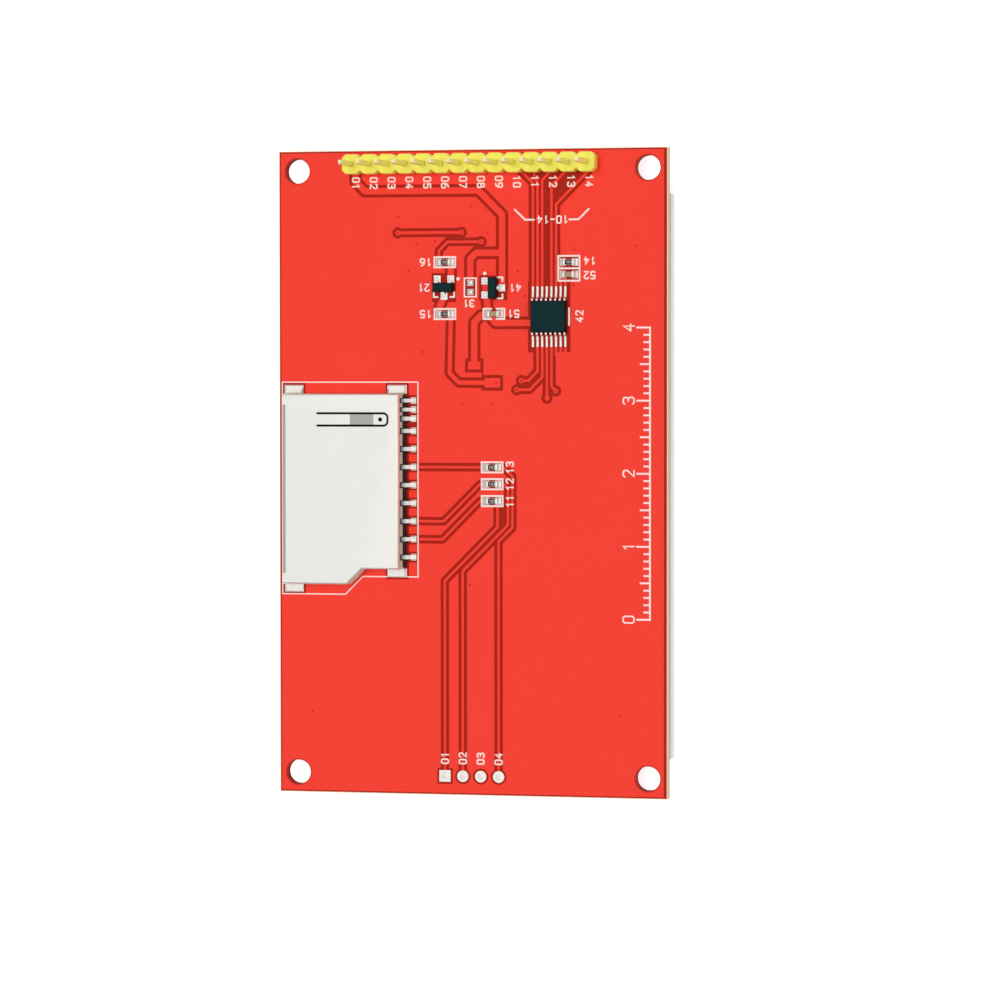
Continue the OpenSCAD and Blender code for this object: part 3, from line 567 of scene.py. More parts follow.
@dataclass(frozen=True)
class PanelFinish(Finish):
    """A polarizer over a cell: dark grey in the viewing area, black over the masked border."""

    border: Rgb = (0.05, 0.05, 0.055)
    viewing_area: Area = ((-24.3, -31.6), (24.3, 33.2))

    def tone(self, graph: Graph, effects: Effects) -> Socket:
        """Gives the colour, which changes at the border of the viewing area."""
        return graph.mix(graph.inside(self.viewing_area), linear(self.border), super().tone(graph, effects))


@dataclass(frozen=True)
class ClearFinish(Finish):
    """Clear glass or film."""

    index: float = 1.5

    def settle(self, shader: bpy.types.Node) -> None:
        """Sets the clear body and its index.

        Args:
            shader: The material's Principled BSDF.
        """
        super().settle(shader)
        shader.inputs["Transmission Weight"].default_value = 1.0
        shader.inputs["IOR"].default_value = self.index


@dataclass(frozen=True)
class FoamFinish(Finish):
    """Closed-cell foam, whose cut cells show on every face."""

    cell_scale: float = 5200.0

    def height(self, graph: Graph, effects: Effects) -> Socket:
        """Gives the height of the cut cells."""
        return graph.add("TexVoronoi", Vector=graph.place(), Scale=self.cell_scale).outputs["Distance"]


FINISHES: tuple[Finish, ...] = (
    LaminateFinish("laminate", (1.0, 0.9, 0.77), roughness=0.7, grain=0.02, drift=0.12, specular=0.04),
    LacquerFinish("copper_lacquer", (0.975, 0.222, 0.155), roughness=0.3, drift=0.05, drift_scale=90.0,
                  grain=0.012, coat=0.15, smear=0.08, dust=0.08, specular=0.25),
    LacquerFinish("bare_lacquer", (0.668, 0.118, 0.05), roughness=0.32, drift=0.12, drift_scale=900.0,
                  grain=0.01, coat=0.05, smear=0.08, specular=0.12),
    Finish("print", (1.0, 0.905, 0.88), roughness=0.6, drift=0.09, drift_scale=1400.0, grain=0.01,
           grain_scale=9000.0, specular=0.3),
    Finish("tin", (0.985, 0.975, 0.95), roughness=0.28, metallic=0.85, drift=0.16, drift_scale=1300.0,
           smear=0.25, grain=0.02, grain_scale=4200.0),
    Finish("header_plastic", (0.985, 0.95, 0.38), roughness=0.42, drift_scale=500.0, grain=0.01, coat=0.1),
    # The pins' paler ends above 14 mm are a painted highlight.
    TippedFinish("pin_gold", (0.975, 0.96, 0.52), roughness=0.42, metallic=0.12, drift=0.12, smear=0.2,
                 grain=0.004, stretch=(1.0, 1.0, 0.06)),
    StreakedFinish("shell_steel", (0.961, 0.956, 0.933), roughness=0.24, metallic=1.0, drift=0.025,
                   drift_scale=120.0, smear=0.08, grain=0.003, dust=0.12),
    # The shell's upright walls: a matt tan-grey that stands in for what the steel walls reflect, as painted
    # reflection and shade.
    StreakedFinish("shell_walls_painted_reflection", (0.88, 0.88, 0.81), roughness=0.6, drift=0.08, drift_scale=900.0,
                   grain=0.004, specular=0.2),
    Finish("socket_plastic", (0.07, 0.07, 0.075), roughness=0.55, drift=0.2, drift_scale=700.0, grain=0.012),
    # The contacts' dark brass is their own brass colour darkened as painted shade inside the socket; past x =
    # -10.3 they take the tin white of their soldered ends.
    TippedFinish("contact_metal", (0.3, 0.22, 0.1), roughness=0.4, metallic=0.15, drift=0.12, grain=0.004,
                 axis="X", tip=(0.98, 0.98, 0.96), tip_from=-10.3),
    Finish("moulded_black", (0.03, 0.16, 0.175), drift=0.35, drift_scale=2600.0, grain=0.016,
           grain_scale=9000.0, smear=0.18, specular=0.15),
    # The same plastic on the sides and underside, darker as painted shade.
    Finish("moulded_flank_painted_shade", (0.015, 0.05, 0.055), roughness=0.45, drift=0.3, drift_scale=2600.0,
           grain=0.01, specular=0.12),
    Finish("resistor_body", (0.05, 0.085, 0.09), roughness=0.4, drift=0.2, drift_scale=2000.0,
           grain=0.008, specular=0.25),
    Finish("capacitor_body", (0.68, 0.56, 0.44), roughness=0.42, drift=0.2, drift_scale=2400.0, grain=0.008),
    FoamFinish("foam", (0.93, 0.93, 0.91), roughness=0.9, drift=0.12, grain=0.05),
    StreakedFinish("reflector_film", (0.93, 0.93, 0.94), roughness=0.25, metallic=0.3, drift=0.05,
                   grain=0.003),
    ClearFinish("clear_plastic", (0.97, 0.985, 0.99), roughness=0.06, smear=0.04, drift=0.01),
    Finish("led_parts", (0.96, 0.86, 0.45), roughness=0.4, drift=0.25, drift_scale=1500.0),
    Finish("diffuser_film", (0.95, 0.95, 0.94), roughness=0.6, drift=0.04),
    StreakedFinish("prism_film", (0.86, 0.87, 0.88), roughness=0.3, drift=0.05, grain=0.01,
                   stretch=(0.03, 1.0, 1.0)),
    Finish("frame_plastic", (0.99, 0.98, 0.95), drift=0.07, drift_scale=300.0, grain=0.012),
    PanelFinish("polarizer_film", (0.135, 0.14, 0.15), roughness=0.2, drift=0.08, smear=0.08),
    Finish("display_glass", (0.24, 0.27, 0.28), roughness=0.12, drift=0.06, smear=0.06),
    Finish("silicon", (0.2, 0.21, 0.23), roughness=0.25, metallic=0.5, drift=0.2, drift_scale=1500.0),
    ConductorFinish("flex_amber", (0.86, 0.53, 0.2), roughness=0.3, drift=0.12, coat=0.25),
    Finish("border_black", (0.03, 0.03, 0.032), roughness=0.55, drift=0.2, grain=0.01),
    Finish("spacer_grey", (0.2, 0.2, 0.21)),
    ClearFinish("touch_glass", (0.95, 0.98, 0.97), roughness=0.03, smear=0.02, drift=0.01, index=1.52),
    ClearFinish("touch_film", (0.97, 0.97, 0.96), roughness=0.05, smear=0.05, drift=0.01, index=1.55),
    Finish("tented_via", (0.84, 0.16, 0.12), roughness=0.35, drift=0.2, drift_scale=3000.0, specular=0.1),
    Finish("ceramic", (0.92, 0.91, 0.88), drift=0.08, drift_scale=2500.0, grain=0.006),
    Finish("silver_ink", (0.72, 0.72, 0.72), roughness=0.45, metallic=0.6, drift=0.15, drift_scale=2500.0),
)


class PaintShop:
    """Makes each finish's material once and gives it out by name."""

    def __init__(self) -> None:
        """Takes in the list of finishes."""
        self.effects = Effects()
        self.finishes = {finish.slot: finish for finish in FINISHES}
        self.made: dict[str, Material] = {}

    def get(self, *slots: str) -> list[Material]:
        """Gives the materials of several slots.

        Args:
            *slots: Names of the finishes.

        Returns:
            Their materials.
        """
        for slot in slots:
            if slot not in self.made:
                self.made[slot] = self.finishes[slot].make(self.effects)
        return [self.made[slot] for slot in slots]


# --------------------------------------------------------------------- outlines


def raised(outline: Iterable[Flat], z: float) -> list[Point]:
    """Lifts an outline to a height."""
    return [(x, y, z) for x, y in outline]


def footprint(box: Box) -> Area:
    """Gives the rectangle that a box covers, seen from above."""
    return (box[0][:2], box[1][:2])


def shrunk(area: Area, inset: float) -> Area:
    """Draws in the sides of a rectangle."""
    (x0, y0), (x1, y1) = area
    return ((x0 + inset, y0 + inset), (x1 - inset, y1 - inset))


def holds(box: Box, spot: Point) -> bool:
    """Says whether a box holds a place, seen from above."""
    return all(box[0][i] <= spot[i] <= box[1][i] for i in (0, 1))


def round_outline(centre: Flat, radius: float, steps: int) -> list[Flat]:
    """Gives a round outline, counterclockwise."""
    turns = (math.tau * i / steps for i in range(steps))
    return [(centre[0] + radius * math.cos(t), centre[1] + radius * math.sin(t)) for t in turns]


def rounded_rectangle(area: Area, radius: float, steps: int = 3) -> list[Flat]:
    """Gives the outline of a rectangle with round corners.

    Args:
        area: Lowest and highest corner of the rectangle.
        radius: Radius of the corners, which never quite reach the middle of a side.
        steps: Steps round each corner.

    Returns:
        The outline, counterclockwise.
    """
    (x0, y0), (x1, y1) = area
    r = min(radius, (x1 - x0) / OVER_TWO, (y1 - y0) / OVER_TWO)
    outline = []
    corners = ((x1 - r, y1 - r), (x0 + r, y1 - r), (x0 + r, y0 + r), (x1 - r, y0 + r))
    for quarter, (x, y) in enumerate(corners):
        for i in range(steps + 1):
            turn = math.pi / 2 * (quarter + i / steps)
            outline.append((x + r * math.cos(turn), y + r * math.sin(turn)))
    return outline


def quarter_turn(steps: int) -> list[Flat]:
    """Gives the sine, and one less the cosine, at each step of a quarter turn."""
    turns = (math.pi / 2 * i / steps for i in range(steps + 1))
    return [(math.sin(t), 1 - math.cos(t)) for t in turns]


def unit(a: Flat, b: Flat) -> Flat:
    """Gives the direction from one point to another."""
    size = math.hypot(b[0] - a[0], b[1] - a[1]) or 1.0
    return ((b[0] - a[0]) / size, (b[1] - a[1]) / size)


def ribbon_sides(path: Sequence[Flat], width: float, closed: bool) -> tuple[list[Flat], list[Flat]]:
    """Gives both sides of a line drawn with a broad pen.

    Args:
        path: Points of the line.
        width: Width of the line.
        closed: Whether the line comes back to its start.

    Returns:
        The left side and the right side, each along the line.
    """
    left, right = [], []
    before = [path[-1] if closed else None, *path[:-1]]
    after = [*path[1:], path[0] if closed else None]
    for last, here, following in zip(before, path, after):
        ways = [unit(a, b) for a, b in ((last, here), (here, following)) if a and b]
        across = (-sum(w[1] for w in ways), sum(w[0] for w in ways))
        size = math.hypot(*across) or 1.0
        across = (across[0] / size, across[1] / size)
        lean = abs(across[0] * -ways[0][1] + across[1] * ways[0][0])
        half = width / 2 * min(1 / max(lean, LEAST_LEAN), MOST_MITRE)
        left.append((here[0] + across[0] * half, here[1] + across[1] * half))
        right.append((here[0] - across[0] * half, here[1] - across[1] * half))
    return left, right


def round_end(end: Flat, before: Flat, width: float) -> list[Flat]:
    """Gives the points between the sides of a broad line's round end.

    Args:
        end: Point that the line ends at.
        before: Point that it comes from.
        width: Width of the line.

    Returns:
        The points, counterclockwise.
    """
    way = unit(before, end)
    start = math.atan2(way[1], way[0]) - math.pi / 2
    turns = (start + math.pi * i / 4 for i in (1, 2, 3))
    return [(end[0] + width / 2 * math.cos(t), end[1] + width / 2 * math.sin(t)) for t in turns]


# ----------------------------------------------------------------------- meshes


def linked(name: str, data: bpy.types.ID) -> Piece:
    """Puts data in the scene as a new object.

    Args:
        name: Name of the object.
        data: Its mesh, lamp or camera.

    Returns:
        The new object.
    """
    thing = bpy.data.objects.new(name, data)
    bpy.context.scene.collection.objects.link(thing)
    return thing


def placed(name: str, work: bmesh.types.BMesh, smooth: float | None) -> Piece:
    """Puts an edited mesh in the scene as a piece.

    Args:
        name: Name of the piece.
        work: Its mesh, which is freed.
        smooth: Angle in degrees under which edges are shaded smooth, or None for flat faces.

    Returns:
        The new object.
    """
    mesh = bpy.data.meshes.new(name)
    work.to_mesh(mesh)
    work.free()
    mesh.validate()
    if smooth is not None:
        mesh.shade_smooth()
        mesh.set_sharp_from_angle(angle=math.radians(smooth))
    return linked(name, mesh)


@dataclass
class Shape:
    """Closed solids of one piece, gathered in millimetres before they become a mesh."""

    name: str
    points: list[Point] = field(default_factory=list)
    faces: list[Sequence[int]] = field(default_factory=list)
    paints: list[int] = field(default_factory=list)

    def stack(self, rings: Sequence[Sequence[Point]], paint: int = 0) -> None:
        """Joins rings of equally many points into one closed solid.

        Args:
            rings: Rings from the bottom up, each counterclockwise from above.
            paint: Number of the finish.
        """
        start, count = len(self.points), len(rings[0])
        top = start + (len(rings) - 1) * count
        for ring in rings:
            self.points.extend(ring)
        self._face(range(start, start + count)[::-1], paint)
        for low in range(start, top, count):
            self._wall(low, low + count, count, paint)
        self._face(range(top, top + count), paint)

    def tube(self, outer: Sequence[Flat], inner: Sequence[Flat], low: float, high: float) -> None:
        """Adds a flat ring between two outlines of equally many points.

        Args:
            outer: Outer outline, counterclockwise.
            inner: Inner outline, counterclockwise.
            low: Lower height.
            high: Upper height.
        """
        start, count = len(self.points), len(outer)
        for outline, z in ((outer, low), (outer, high), (inner, high), (inner, low)):
            self.points.extend(raised(outline, z))
        for level in range(4):
            self._wall(start + level * count, start + (level + 1) % 4 * count, count, 0)

    def prism(self, outline: Sequence[Flat], low: float, high: float) -> None:
        """Adds an upright solid over an outline that runs counterclockwise."""
        self.stack([raised(outline, low), raised(outline, high)])

    def turned(self, centre: Flat, profile: Sequence[Flat], steps: int = ROUND_STEPS) -> None:
        """Adds a turned solid round an upright axis.

        Args:
            centre: Place of the axis.
            profile: Radius and height from the bottom up.
            steps: Points round the axis.
        """
        self.stack([raised(round_outline(centre, r, steps), z) for r, z in profile])

    def line(self, path: Sequence[Flat], width: float, low: float, high: float) -> None:
        """Adds a flat line with round ends, or a loop where the path comes back to its start.

        Args:
            path: Points of the line.
            width: Width of the line.
            low: Lower height.
            high: Upper height.
        """
        if path[0] == path[-1]:
            left, right = ribbon_sides(path[:-1], width, True)
            self.tube(right, left, low, high)
            return
        left, right = ribbon_sides(path, width, False)
        last, first = round_end(path[-1], path[-2], width), round_end(path[0], path[1], width)
        self.prism([*right, *last, *reversed(left), *first], low, high)

    def _wall(self, here: int, there: int, count: int, paint: int) -> None:
        """Adds the faces between two rings of points.

        Args:
            here: Number of the first ring's first point.
            there: Number of the second ring's first point.
            count: Points in each ring.
            paint: Number of the finish.
        """
        for i in range(count):
            j = (i + 1) % count
            self._face((here + i, here + j, there + j, there + i), paint)

    def _face(self, corners: Sequence[int], paint: int) -> None:
        """Adds one face."""
        self.faces.append(corners)
        self.paints.append(paint)

    def make(self, smooth: float | None = None) -> Piece:
        """Makes the piece from the gathered solids, with its faces numbered by finish.

        Args:
            smooth: Angle in degrees under which edges are shaded smooth, or None for flat faces.

        Returns:
            The new object, in the scene.
        """
        work = bmesh.new()
        corners = [work.verts.new([c * MM for c in point]) for point in self.points]
        for face, paint in zip(self.faces, self.paints):
            work.faces.new([corners[i] for i in face]).material_index = paint
        bmesh.ops.recalc_face_normals(work, faces=work.faces)
        return placed(self.name, work, smooth)


def island_boxes(node: str, below: float | None = None) -> list[Box]:
    """Finds the separate solids of a CAD node.

    Args:
        node: Name of the node.
        below: Counts only the points under this height in each solid's box, where it is given.

    Returns:
        The box of each solid.
    """
    mesh = bpy.data.objects[node].data
    places = [tuple(round(c / MM, 4) for c in v.co) for v in mesh.vertices]
    parent = {p: p for p in places}

    def root(p: Point) -> Point:
        """Gives the point that stands for a solid.

        Args:
            p: Any of its points.

        Returns:
            The point.
        """
        while parent[p] != p:
            parent[p] = parent[parent[p]]
            p = parent[p]
        return p

    for edge in mesh.edges:
        parent[root(places[edge.vertices[0]])] = root(places[edge.vertices[1]])
    solids: dict[Point, list[Point]] = defaultdict(list)
    for p in parent:
        if below is None or p[2] < below:
            solids[root(p)].append(p)
    return sorted((tuple(map(min, zip(*kept))), tuple(map(max, zip(*kept)))) for kept in solids.values())


def softened(
    node: str,
    name: str,
    width: float,
    segments: int,
    pick: Callable[[Vector, Vector], bool] = lambda a, b: True,
    least_turn: float = 40.0,
) -> Piece:
    """Copies a CAD node's shape and rounds its outer edges.

    Args:
        node: Name of the node.
        name: Name of the new piece.
        width: Width of the rounding.
        segments: Steps across the rounding.
        pick: Says for an edge's two ends whether it is rounded.
        least_turn: Edges that turn by less than this many degrees stay as they are.

    Returns:
        The new piece.
    """
    work = bmesh.new()
    work.from_mesh(bpy.data.objects[node].data)
    bmesh.ops.remove_doubles(work, verts=work.verts, dist=WELD_GAP * MM)
    bmesh.ops.dissolve_limit(work, angle_limit=math.radians(FLAT_TURN), verts=work.verts, edges=work.edges)
    edges = [
        e
        for e in work.edges
        if len(e.link_faces) == 2
        and e.is_convex
        and e.calc_face_angle() > math.radians(least_turn)
        and pick(e.verts[0].co / MM, e.verts[1].co / MM)
    ]
    settings = {"offset": width * MM, "segments": segments, "profile": 0.5, "affect": "EDGES"}
    bmesh.ops.bevel(work, geom=edges, clamp_overlap=True, **settings)
    return placed(name, work, SOFT_SHADE)


def second_finish(piece: Piece, takes: Callable[[Vector], bool]) -> None:
    """Gives the second finish to the faces whose direction takes it, and the first to the others."""
    for face in piece.data.polygons:
        face.material_index = int(takes(face.normal))


# ------------------------------------------------------------- joining the frame


@dataclass
class Workshop:
    """Holds what every sub-assembly needs: the paints, and the way onto the frame."""

    paints: PaintShop = field(default_factory=PaintShop)
    body: str = "root"

    def dress(self, slot: str, *nodes: str) -> None:
        """Gives CAD nodes their finish.

        Args:
            slot: Name of the finish.
            *nodes: Names of the nodes.
        """
        for node in nodes:
            materials = bpy.data.objects[node].data.materials
            materials.clear()
            materials.append(*self.paints.get(slot))
            LOG.info("dressed %s in %s", node, slot)

    def mount(self, piece: Piece, slot: str, *stands_for: str, finishes: Sequence[str] = ()) -> None:
        """Puts a new piece on the frame.

        Args:
            piece: The piece.
            slot: The slot that it takes its finish from.
            *stands_for: CAD nodes that it replaces.
            finishes: Its finishes by number, where they aren't just the slot's own.
        """
        for material in self.paints.get(*(finishes or (slot,))):
            piece.data.materials.append(material)
        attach(piece, self.body)
        if stands_for:
            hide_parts(*stands_for)
        LOG.info("made %s in %s, %d faces", piece.name, slot, len(piece.data.polygons))


# ----------------------------------------------------------------------- solder


@dataclass
class SolderWork:
    """Solder fillets that run from a pad up to the foot or end that stands on it."""

    shop: Workshop
    steps: int = 5
    corner: float = 0.12
    film: float = 0.015
    inset: float = 0.03
    foot_height: float = 0.16
    foot_margin: float = 0.02
    pad_margin: float = 0.05
    smooth: float = 60.0

    def fillet(self, shape: Shape, pad: Box, top: Area, height: float) -> None:
        """Adds a hollow-sided fillet between a pad and what stands on it.

        Args:
            shape: Shape that it goes into.
            pad: Box of the pad.
            top: Lowest and highest corner of the fillet's upper outline.
            height: Height of the fillet above the pad.
        """
        level = pad[1][2]
        foot = rounded_rectangle(shrunk(footprint(pad), self.inset), self.corner)
        crown = rounded_rectangle(top, self.corner)
        rings = [raised(foot, level)]
        for share, curve in quarter_turn(self.steps):
            between = [(a + (c - a) * share, b + (d - b) * share) for (a, b), (c, d) in zip(foot, crown)]
            rings.append(raised(between, level + self.film + (height - self.film) * curve))
        shape.stack(rings)

    def under_feet(self, name: str, node: str, pads: Sequence[Box], height: float) -> None:
        """Solders each foot of a node of leads to its pad.

        Args:
            name: Name of the new piece.
            node: The node of leads.
            pads: Boxes of all pads.
            height: Height of the fillets.
        """
        shape = Shape(name)
        for foot in island_boxes(node, below=pads[0][1][2] + self.foot_height):
            for pad in pads:
                if holds(pad, middle(foot)):
                    around = shrunk(footprint(foot), -self.foot_margin)
                    within = shrunk(footprint(pad), self.pad_margin)
                    top = (tuple(map(max, around[0], within[0])), tuple(map(min, around[1], within[1])))
                    self.fillet(shape, pad, top, height)
        self.finish(shape)

    def finish(self, shape: Shape) -> None:
        """Makes a piece of solder and mounts it."""
        self.shop.mount(shape.make(self.smooth), "tin")


# ---------------------------------------------------------------- screen print


def loop(low: Flat, high: Flat, cut: Flat) -> tuple[Flat, ...]:
    """Gives the closed path of a printed digit's ring: a rectangle with its corners cut off.

    Args:
        low: Lower left corner.
        high: Upper right corner.
        cut: Length cut off each side at a corner.

    Returns:
        The path, whose last point is its first.
    """
    (x0, y0), (x1, y1), (a, b) = low, high, cut
    return (
        (x0 + a, y0), (x1 - a, y0), (x1, y0 + b), (x1, y1 - b),
        (x1 - a, y1), (x0 + a, y1), (x0, y1 - b), (x0, y0 + b), (x0 + a, y0),
    )


GLYPHS: dict[str, tuple[tuple[Flat, ...], ...]] = {
    "0": (loop((0, 0), (0.6, 1), (0.12, 0.14)),),
    "1": (((0.1, 0.78), (0.32, 1), (0.32, 0)),),
    "2": (((0, 0.84), (0.14, 1), (0.46, 1), (0.6, 0.86), (0.6, 0.62), (0.03, 0), (0.6, 0)),),
    "3": (((0, 0.88), (0.13, 1), (0.46, 1), (0.58, 0.88), (0.58, 0.66), (0.46, 0.54), (0.24, 0.54)),
          ((0.46, 0.54), (0.6, 0.4), (0.6, 0.13), (0.47, 0), (0.13, 0), (0, 0.12))),
    "4": (((0.44, 0), (0.44, 1), (0.02, 0.32)), ((0, 0.32), (0.6, 0.32))),
    "5": (((0.56, 1), (0.05, 1), (0.02, 0.56), (0.44, 0.58), (0.6, 0.44), (0.6, 0.14), (0.46, 0),
           (0.12, 0), (0, 0.1)),),
    "6": (loop((0, 0), (0.6, 0.55), (0.12, 0.13)), ((0, 0.42), (0.04, 0.66), (0.2, 0.9), (0.48, 1))),
    "7": (((0, 1), (0.6, 1), (0.2, 0)),),
    "8": (loop((0, 0), (0.6, 0.53), (0.12, 0.13)), loop((0.04, 0.53), (0.56, 1), (0.1, 0.11))),
    "9": (loop((0, 0.45), (0.6, 1), (0.12, 0.13)), ((0.6, 0.58), (0.56, 0.34), (0.4, 0.1), (0.12, 0))),
    "-": (((0.05, 0.45), (0.55, 0.45)),),
}


class Turn(Enum):
    """Ways that printed numbers face."""

    UP = (1, 0)
    LEFT = (0, 1)
    DOWN = (-1, 0)
    RIGHT = (0, -1)


@dataclass(frozen=True)
class Number:
    """A printed number: its digits, the middle of its first edge, its way and its height."""

    digits: str
    start: Flat
    turn: Turn
    height: float = 0.95


@dataclass
class NumberPrint:
    """Plain numbers of the screen print, drawn with one broad line each as a plotter does."""

    pen: float = 0.21
    step: float = 0.95
    layer: float = 0.003

    def write(self, shape: Shape, number: Number, low: float, high: float) -> None:
        """Draws a number.

        Args:
            shape: Shape that it goes into.
            number: The number and its place.
            low: Lower height of the print.
            high: Upper height of the print.
        """
        (x0, y0), (across, up) = number.start, number.turn.value
        for i, digit in enumerate(number.digits):
            for stroke, path in enumerate(GLYPHS[digit]):
                places = []
                for x, y in path:
                    a, b = (x + i * self.step) * number.height, (y - 0.5) * number.height
                    places.append((x0 + a * across - b * up, y0 + a * up + b * across))
                shape.line(places, self.pen, low, high + stroke * self.layer)


# ---------------------------------------------------------------- circuit board


@dataclass
class CircuitBoard:
    """The red board with its copper, lacquer, print, pads, tented vias and plated holes."""

    shop: Workshop
    via_r: float = 0.17
    via_rise: float = 0.01
    via_profile: tuple[Flat, ...] = ((1.0, 0.0), (0.82, 1.0), (0.6, 1.0), (0.3, 0.3))
    via_steps: int = 20
    via_shade: float = 60.0
    barrel_r: float = 0.5
    barrel_wall: float = 0.06
    barrel_shade: float = 40.0
    overlap: float = 0.01
    row_depth: float = 1.7
    pins: int = 14
    pin_number: Flat = (0.1, -1.8)
    row_number: float = 1.75
    header_mark: Number = Number("10-14", (13.55, 34.85), Turn.DOWN)
    jumper_mark: Number = Number("31", (0.35, 23.4), Turn.DOWN, 0.9)
    scale_marks: int = 5
    scale_step: float = 10.0
    scale_number: Flat = (22.1, -0.45)
    scale_height: float = 1.5
    vias: tuple[Flat, ...] = (
        (-10.35, 35.37), (-7.66, 31.58), (-5.17, 31.96), (-8.85, 27.98), (-0.06, 36.8), (2.29, 33.16),
        (6.52, 27.74), (14.54, 30.67), (14.4, 25.86), (23.03, 31.19), (-6.9, 16.72), (-1.33, 9.45),
        (2.82, 9.45), (7.56, 24.41), (-22.82, -33.35), (20.97, -33.19), (-0.26, -15.51), (3.52, 12.43),
        (-10.45, 33.2), (-1.4, 33.2), (1.4, 31.9), (7.05, 12.75), (6.4, 11.5), (10.32, 10.35), (11.9, 11.35),
    )
    beside: tuple[tuple[str, str, Flat, Turn], ...] = (
        ("resistor_6", "16", (-2.0, 0.0), Turn.DOWN),
        ("transistor_body", "21", (-2.1, 0.0), Turn.DOWN),
        ("resistor_5", "15", (-2.0, 0.0), Turn.DOWN),
        ("regulator_body", "41", (3.85, 0.0), Turn.DOWN),
        ("capacitor_1", "51", (3.5, 0.0), Turn.DOWN),
        ("resistor_4", "14", (3.65, 0.15), Turn.DOWN),
        ("capacitor_2", "52", (3.65, -0.1), Turn.DOWN),
        ("touch_controller_body", "42", (4.25, -0.7), Turn.LEFT),
        ("resistor_3", "13", (2.5, -0.75), Turn.LEFT),
        ("resistor_2", "12", (2.5, -0.75), Turn.LEFT),
        ("resistor_1", "11", (2.5, -0.75), Turn.LEFT),
    )

    def build(self) -> None:
        """Dresses the board's nodes and builds its small features."""
        self.shop.dress("laminate", "board")
        self.shop.dress("copper_lacquer", "rear_copper")
        self.shop.dress("bare_lacquer", "rear_mask", "front_mask")
        self.shop.dress("print", "rear_silkscreen")
        self.shop.dress("tin", "rear_pads", "front_pads")
        self.tented_vias()
        self.plated_holes()
        self.numbers()

    def tented_vias(self) -> None:
        """Builds the lacquered vias: a low ring round a dark dimple."""
        shape = Shape("tented_vias")
        top = node_box("rear_copper")[1][2]
        rings = [(self.via_r * width, top + self.via_rise * rise) for width, rise in self.via_profile]
        for via in self.vias:
            shape.turned(via, [(self.via_r, top - self.overlap), *rings], self.via_steps)
        self.shop.mount(shape.make(self.via_shade), "copper_lacquer", finishes=["tented_via"])

    def empty_row(self) -> list[Point]:
        """Gives the middles of the empty row's lands."""
        low = node_box("rear_pads")[0][1]
        return [middle(land) for land in island_boxes("rear_pads") if land[1][1] < low + self.row_depth]

    def plated_holes(self) -> None:
        """Builds the plated barrels of the empty row's holes."""
        shape = Shape("plated_holes")
        low, high = node_box("front_pads")[0][2] - self.overlap, node_box("rear_pads")[1][2] + self.overlap
        for place in self.empty_row():
            radii = (self.barrel_r, self.barrel_r - self.barrel_wall)
            shape.tube(*(round_outline(place, radius, ROUND_STEPS) for radius in radii), low, high)
        self.shop.mount(shape.make(self.barrel_shade), "tin")

    def numbers(self) -> None:
        """Prints the plain numbers: at the pins, the holes, the small parts and the scale."""
        shape = Shape("printed_numbers")
        (*_, low), (*_, high) = node_box("rear_silkscreen")
        for number in (*self._row_numbers(), *self._part_numbers(), *self._scale_numbers()):
            NumberPrint().write(shape, number, low, high)
        self.shop.mount(shape.make(), "print")

    def _row_numbers(self) -> Iterable[Number]:
        """Gives the numbers of the header's pins and of the empty row's holes.

        Yields:
            Each number.
        """
        dx, dy = self.pin_number
        for i in range(1, self.pins + 1):
            x, y, _ = middle(node_box(f"header_pin_{i}"))
            yield Number(f"{i:02d}", (x + dx, y + dy), Turn.RIGHT)
        yield self.header_mark
        for i, (x, y, _) in enumerate(self.empty_row(), 1):
            yield Number(f"{i:02d}", (x, y + self.row_number), Turn.LEFT)

    def _part_numbers(self) -> Iterable[Number]:
        """Gives the number beside each small part.

        Yields:
            Each number.
        """
        for node, digits, (dx, dy), turn in self.beside:
            x, y, _ = middle(node_box(node))
            yield Number(digits, (x + dx, y + dy), turn)
        yield self.jumper_mark

    def _scale_numbers(self) -> Iterable[Number]:
        """Gives the numbers of the centimetres along the scale.

        Yields:
            Each number.
        """
        x, dy = self.scale_number
        for i in range(self.scale_marks):
            y = (i - self.scale_marks // 2) * self.scale_step + dy
            yield Number(str(i), (x, y), Turn.LEFT, self.scale_height)


# ------------------------------------------------------------------- pin header


@dataclass
class PinHeader:
    """Fourteen gold pins in a yellow housing, soldered on the board's front."""

    shop: Workshop
    pins: int = 14
    edge: float = 0.14
    edge_steps: int = 3
    cone_tip: float = 0.38
    cone_steps: int = 6
    cone_shade: float = 50.0

    def build(self) -> None:
        """Builds the housing and the solder, and dresses the pins."""
        # The pins' finish paints a pale highlight on their upper ends.
        self.shop.dress("pin_gold", *(f"header_pin_{i}" for i in range(1, self.pins + 1)))
        housing = softened("header_housing", "header_block", self.edge, self.edge_steps)
        self.shop.mount(housing, "header_plastic", "header_housing")
        self.cones()

    def cones(self) -> None:
        """Builds the hollow-sided solder cones on the board's front."""
        shape = Shape("header_cones")
        for cone in island_boxes("header_solder"):
            (x0, _, low), (x1, _, high) = cone
            spread = (x1 - x0) / 2 - self.cone_tip
            curve = quarter_turn(self.cone_steps)
            profile = [(self.cone_tip + spread * out, low + (high - low) * up) for up, out in curve]
            shape.turned(middle(cone), profile)
        self.shop.mount(shape.make(self.cone_shade), "tin", "header_solder")


# ------------------------------------------------------------------ card socket


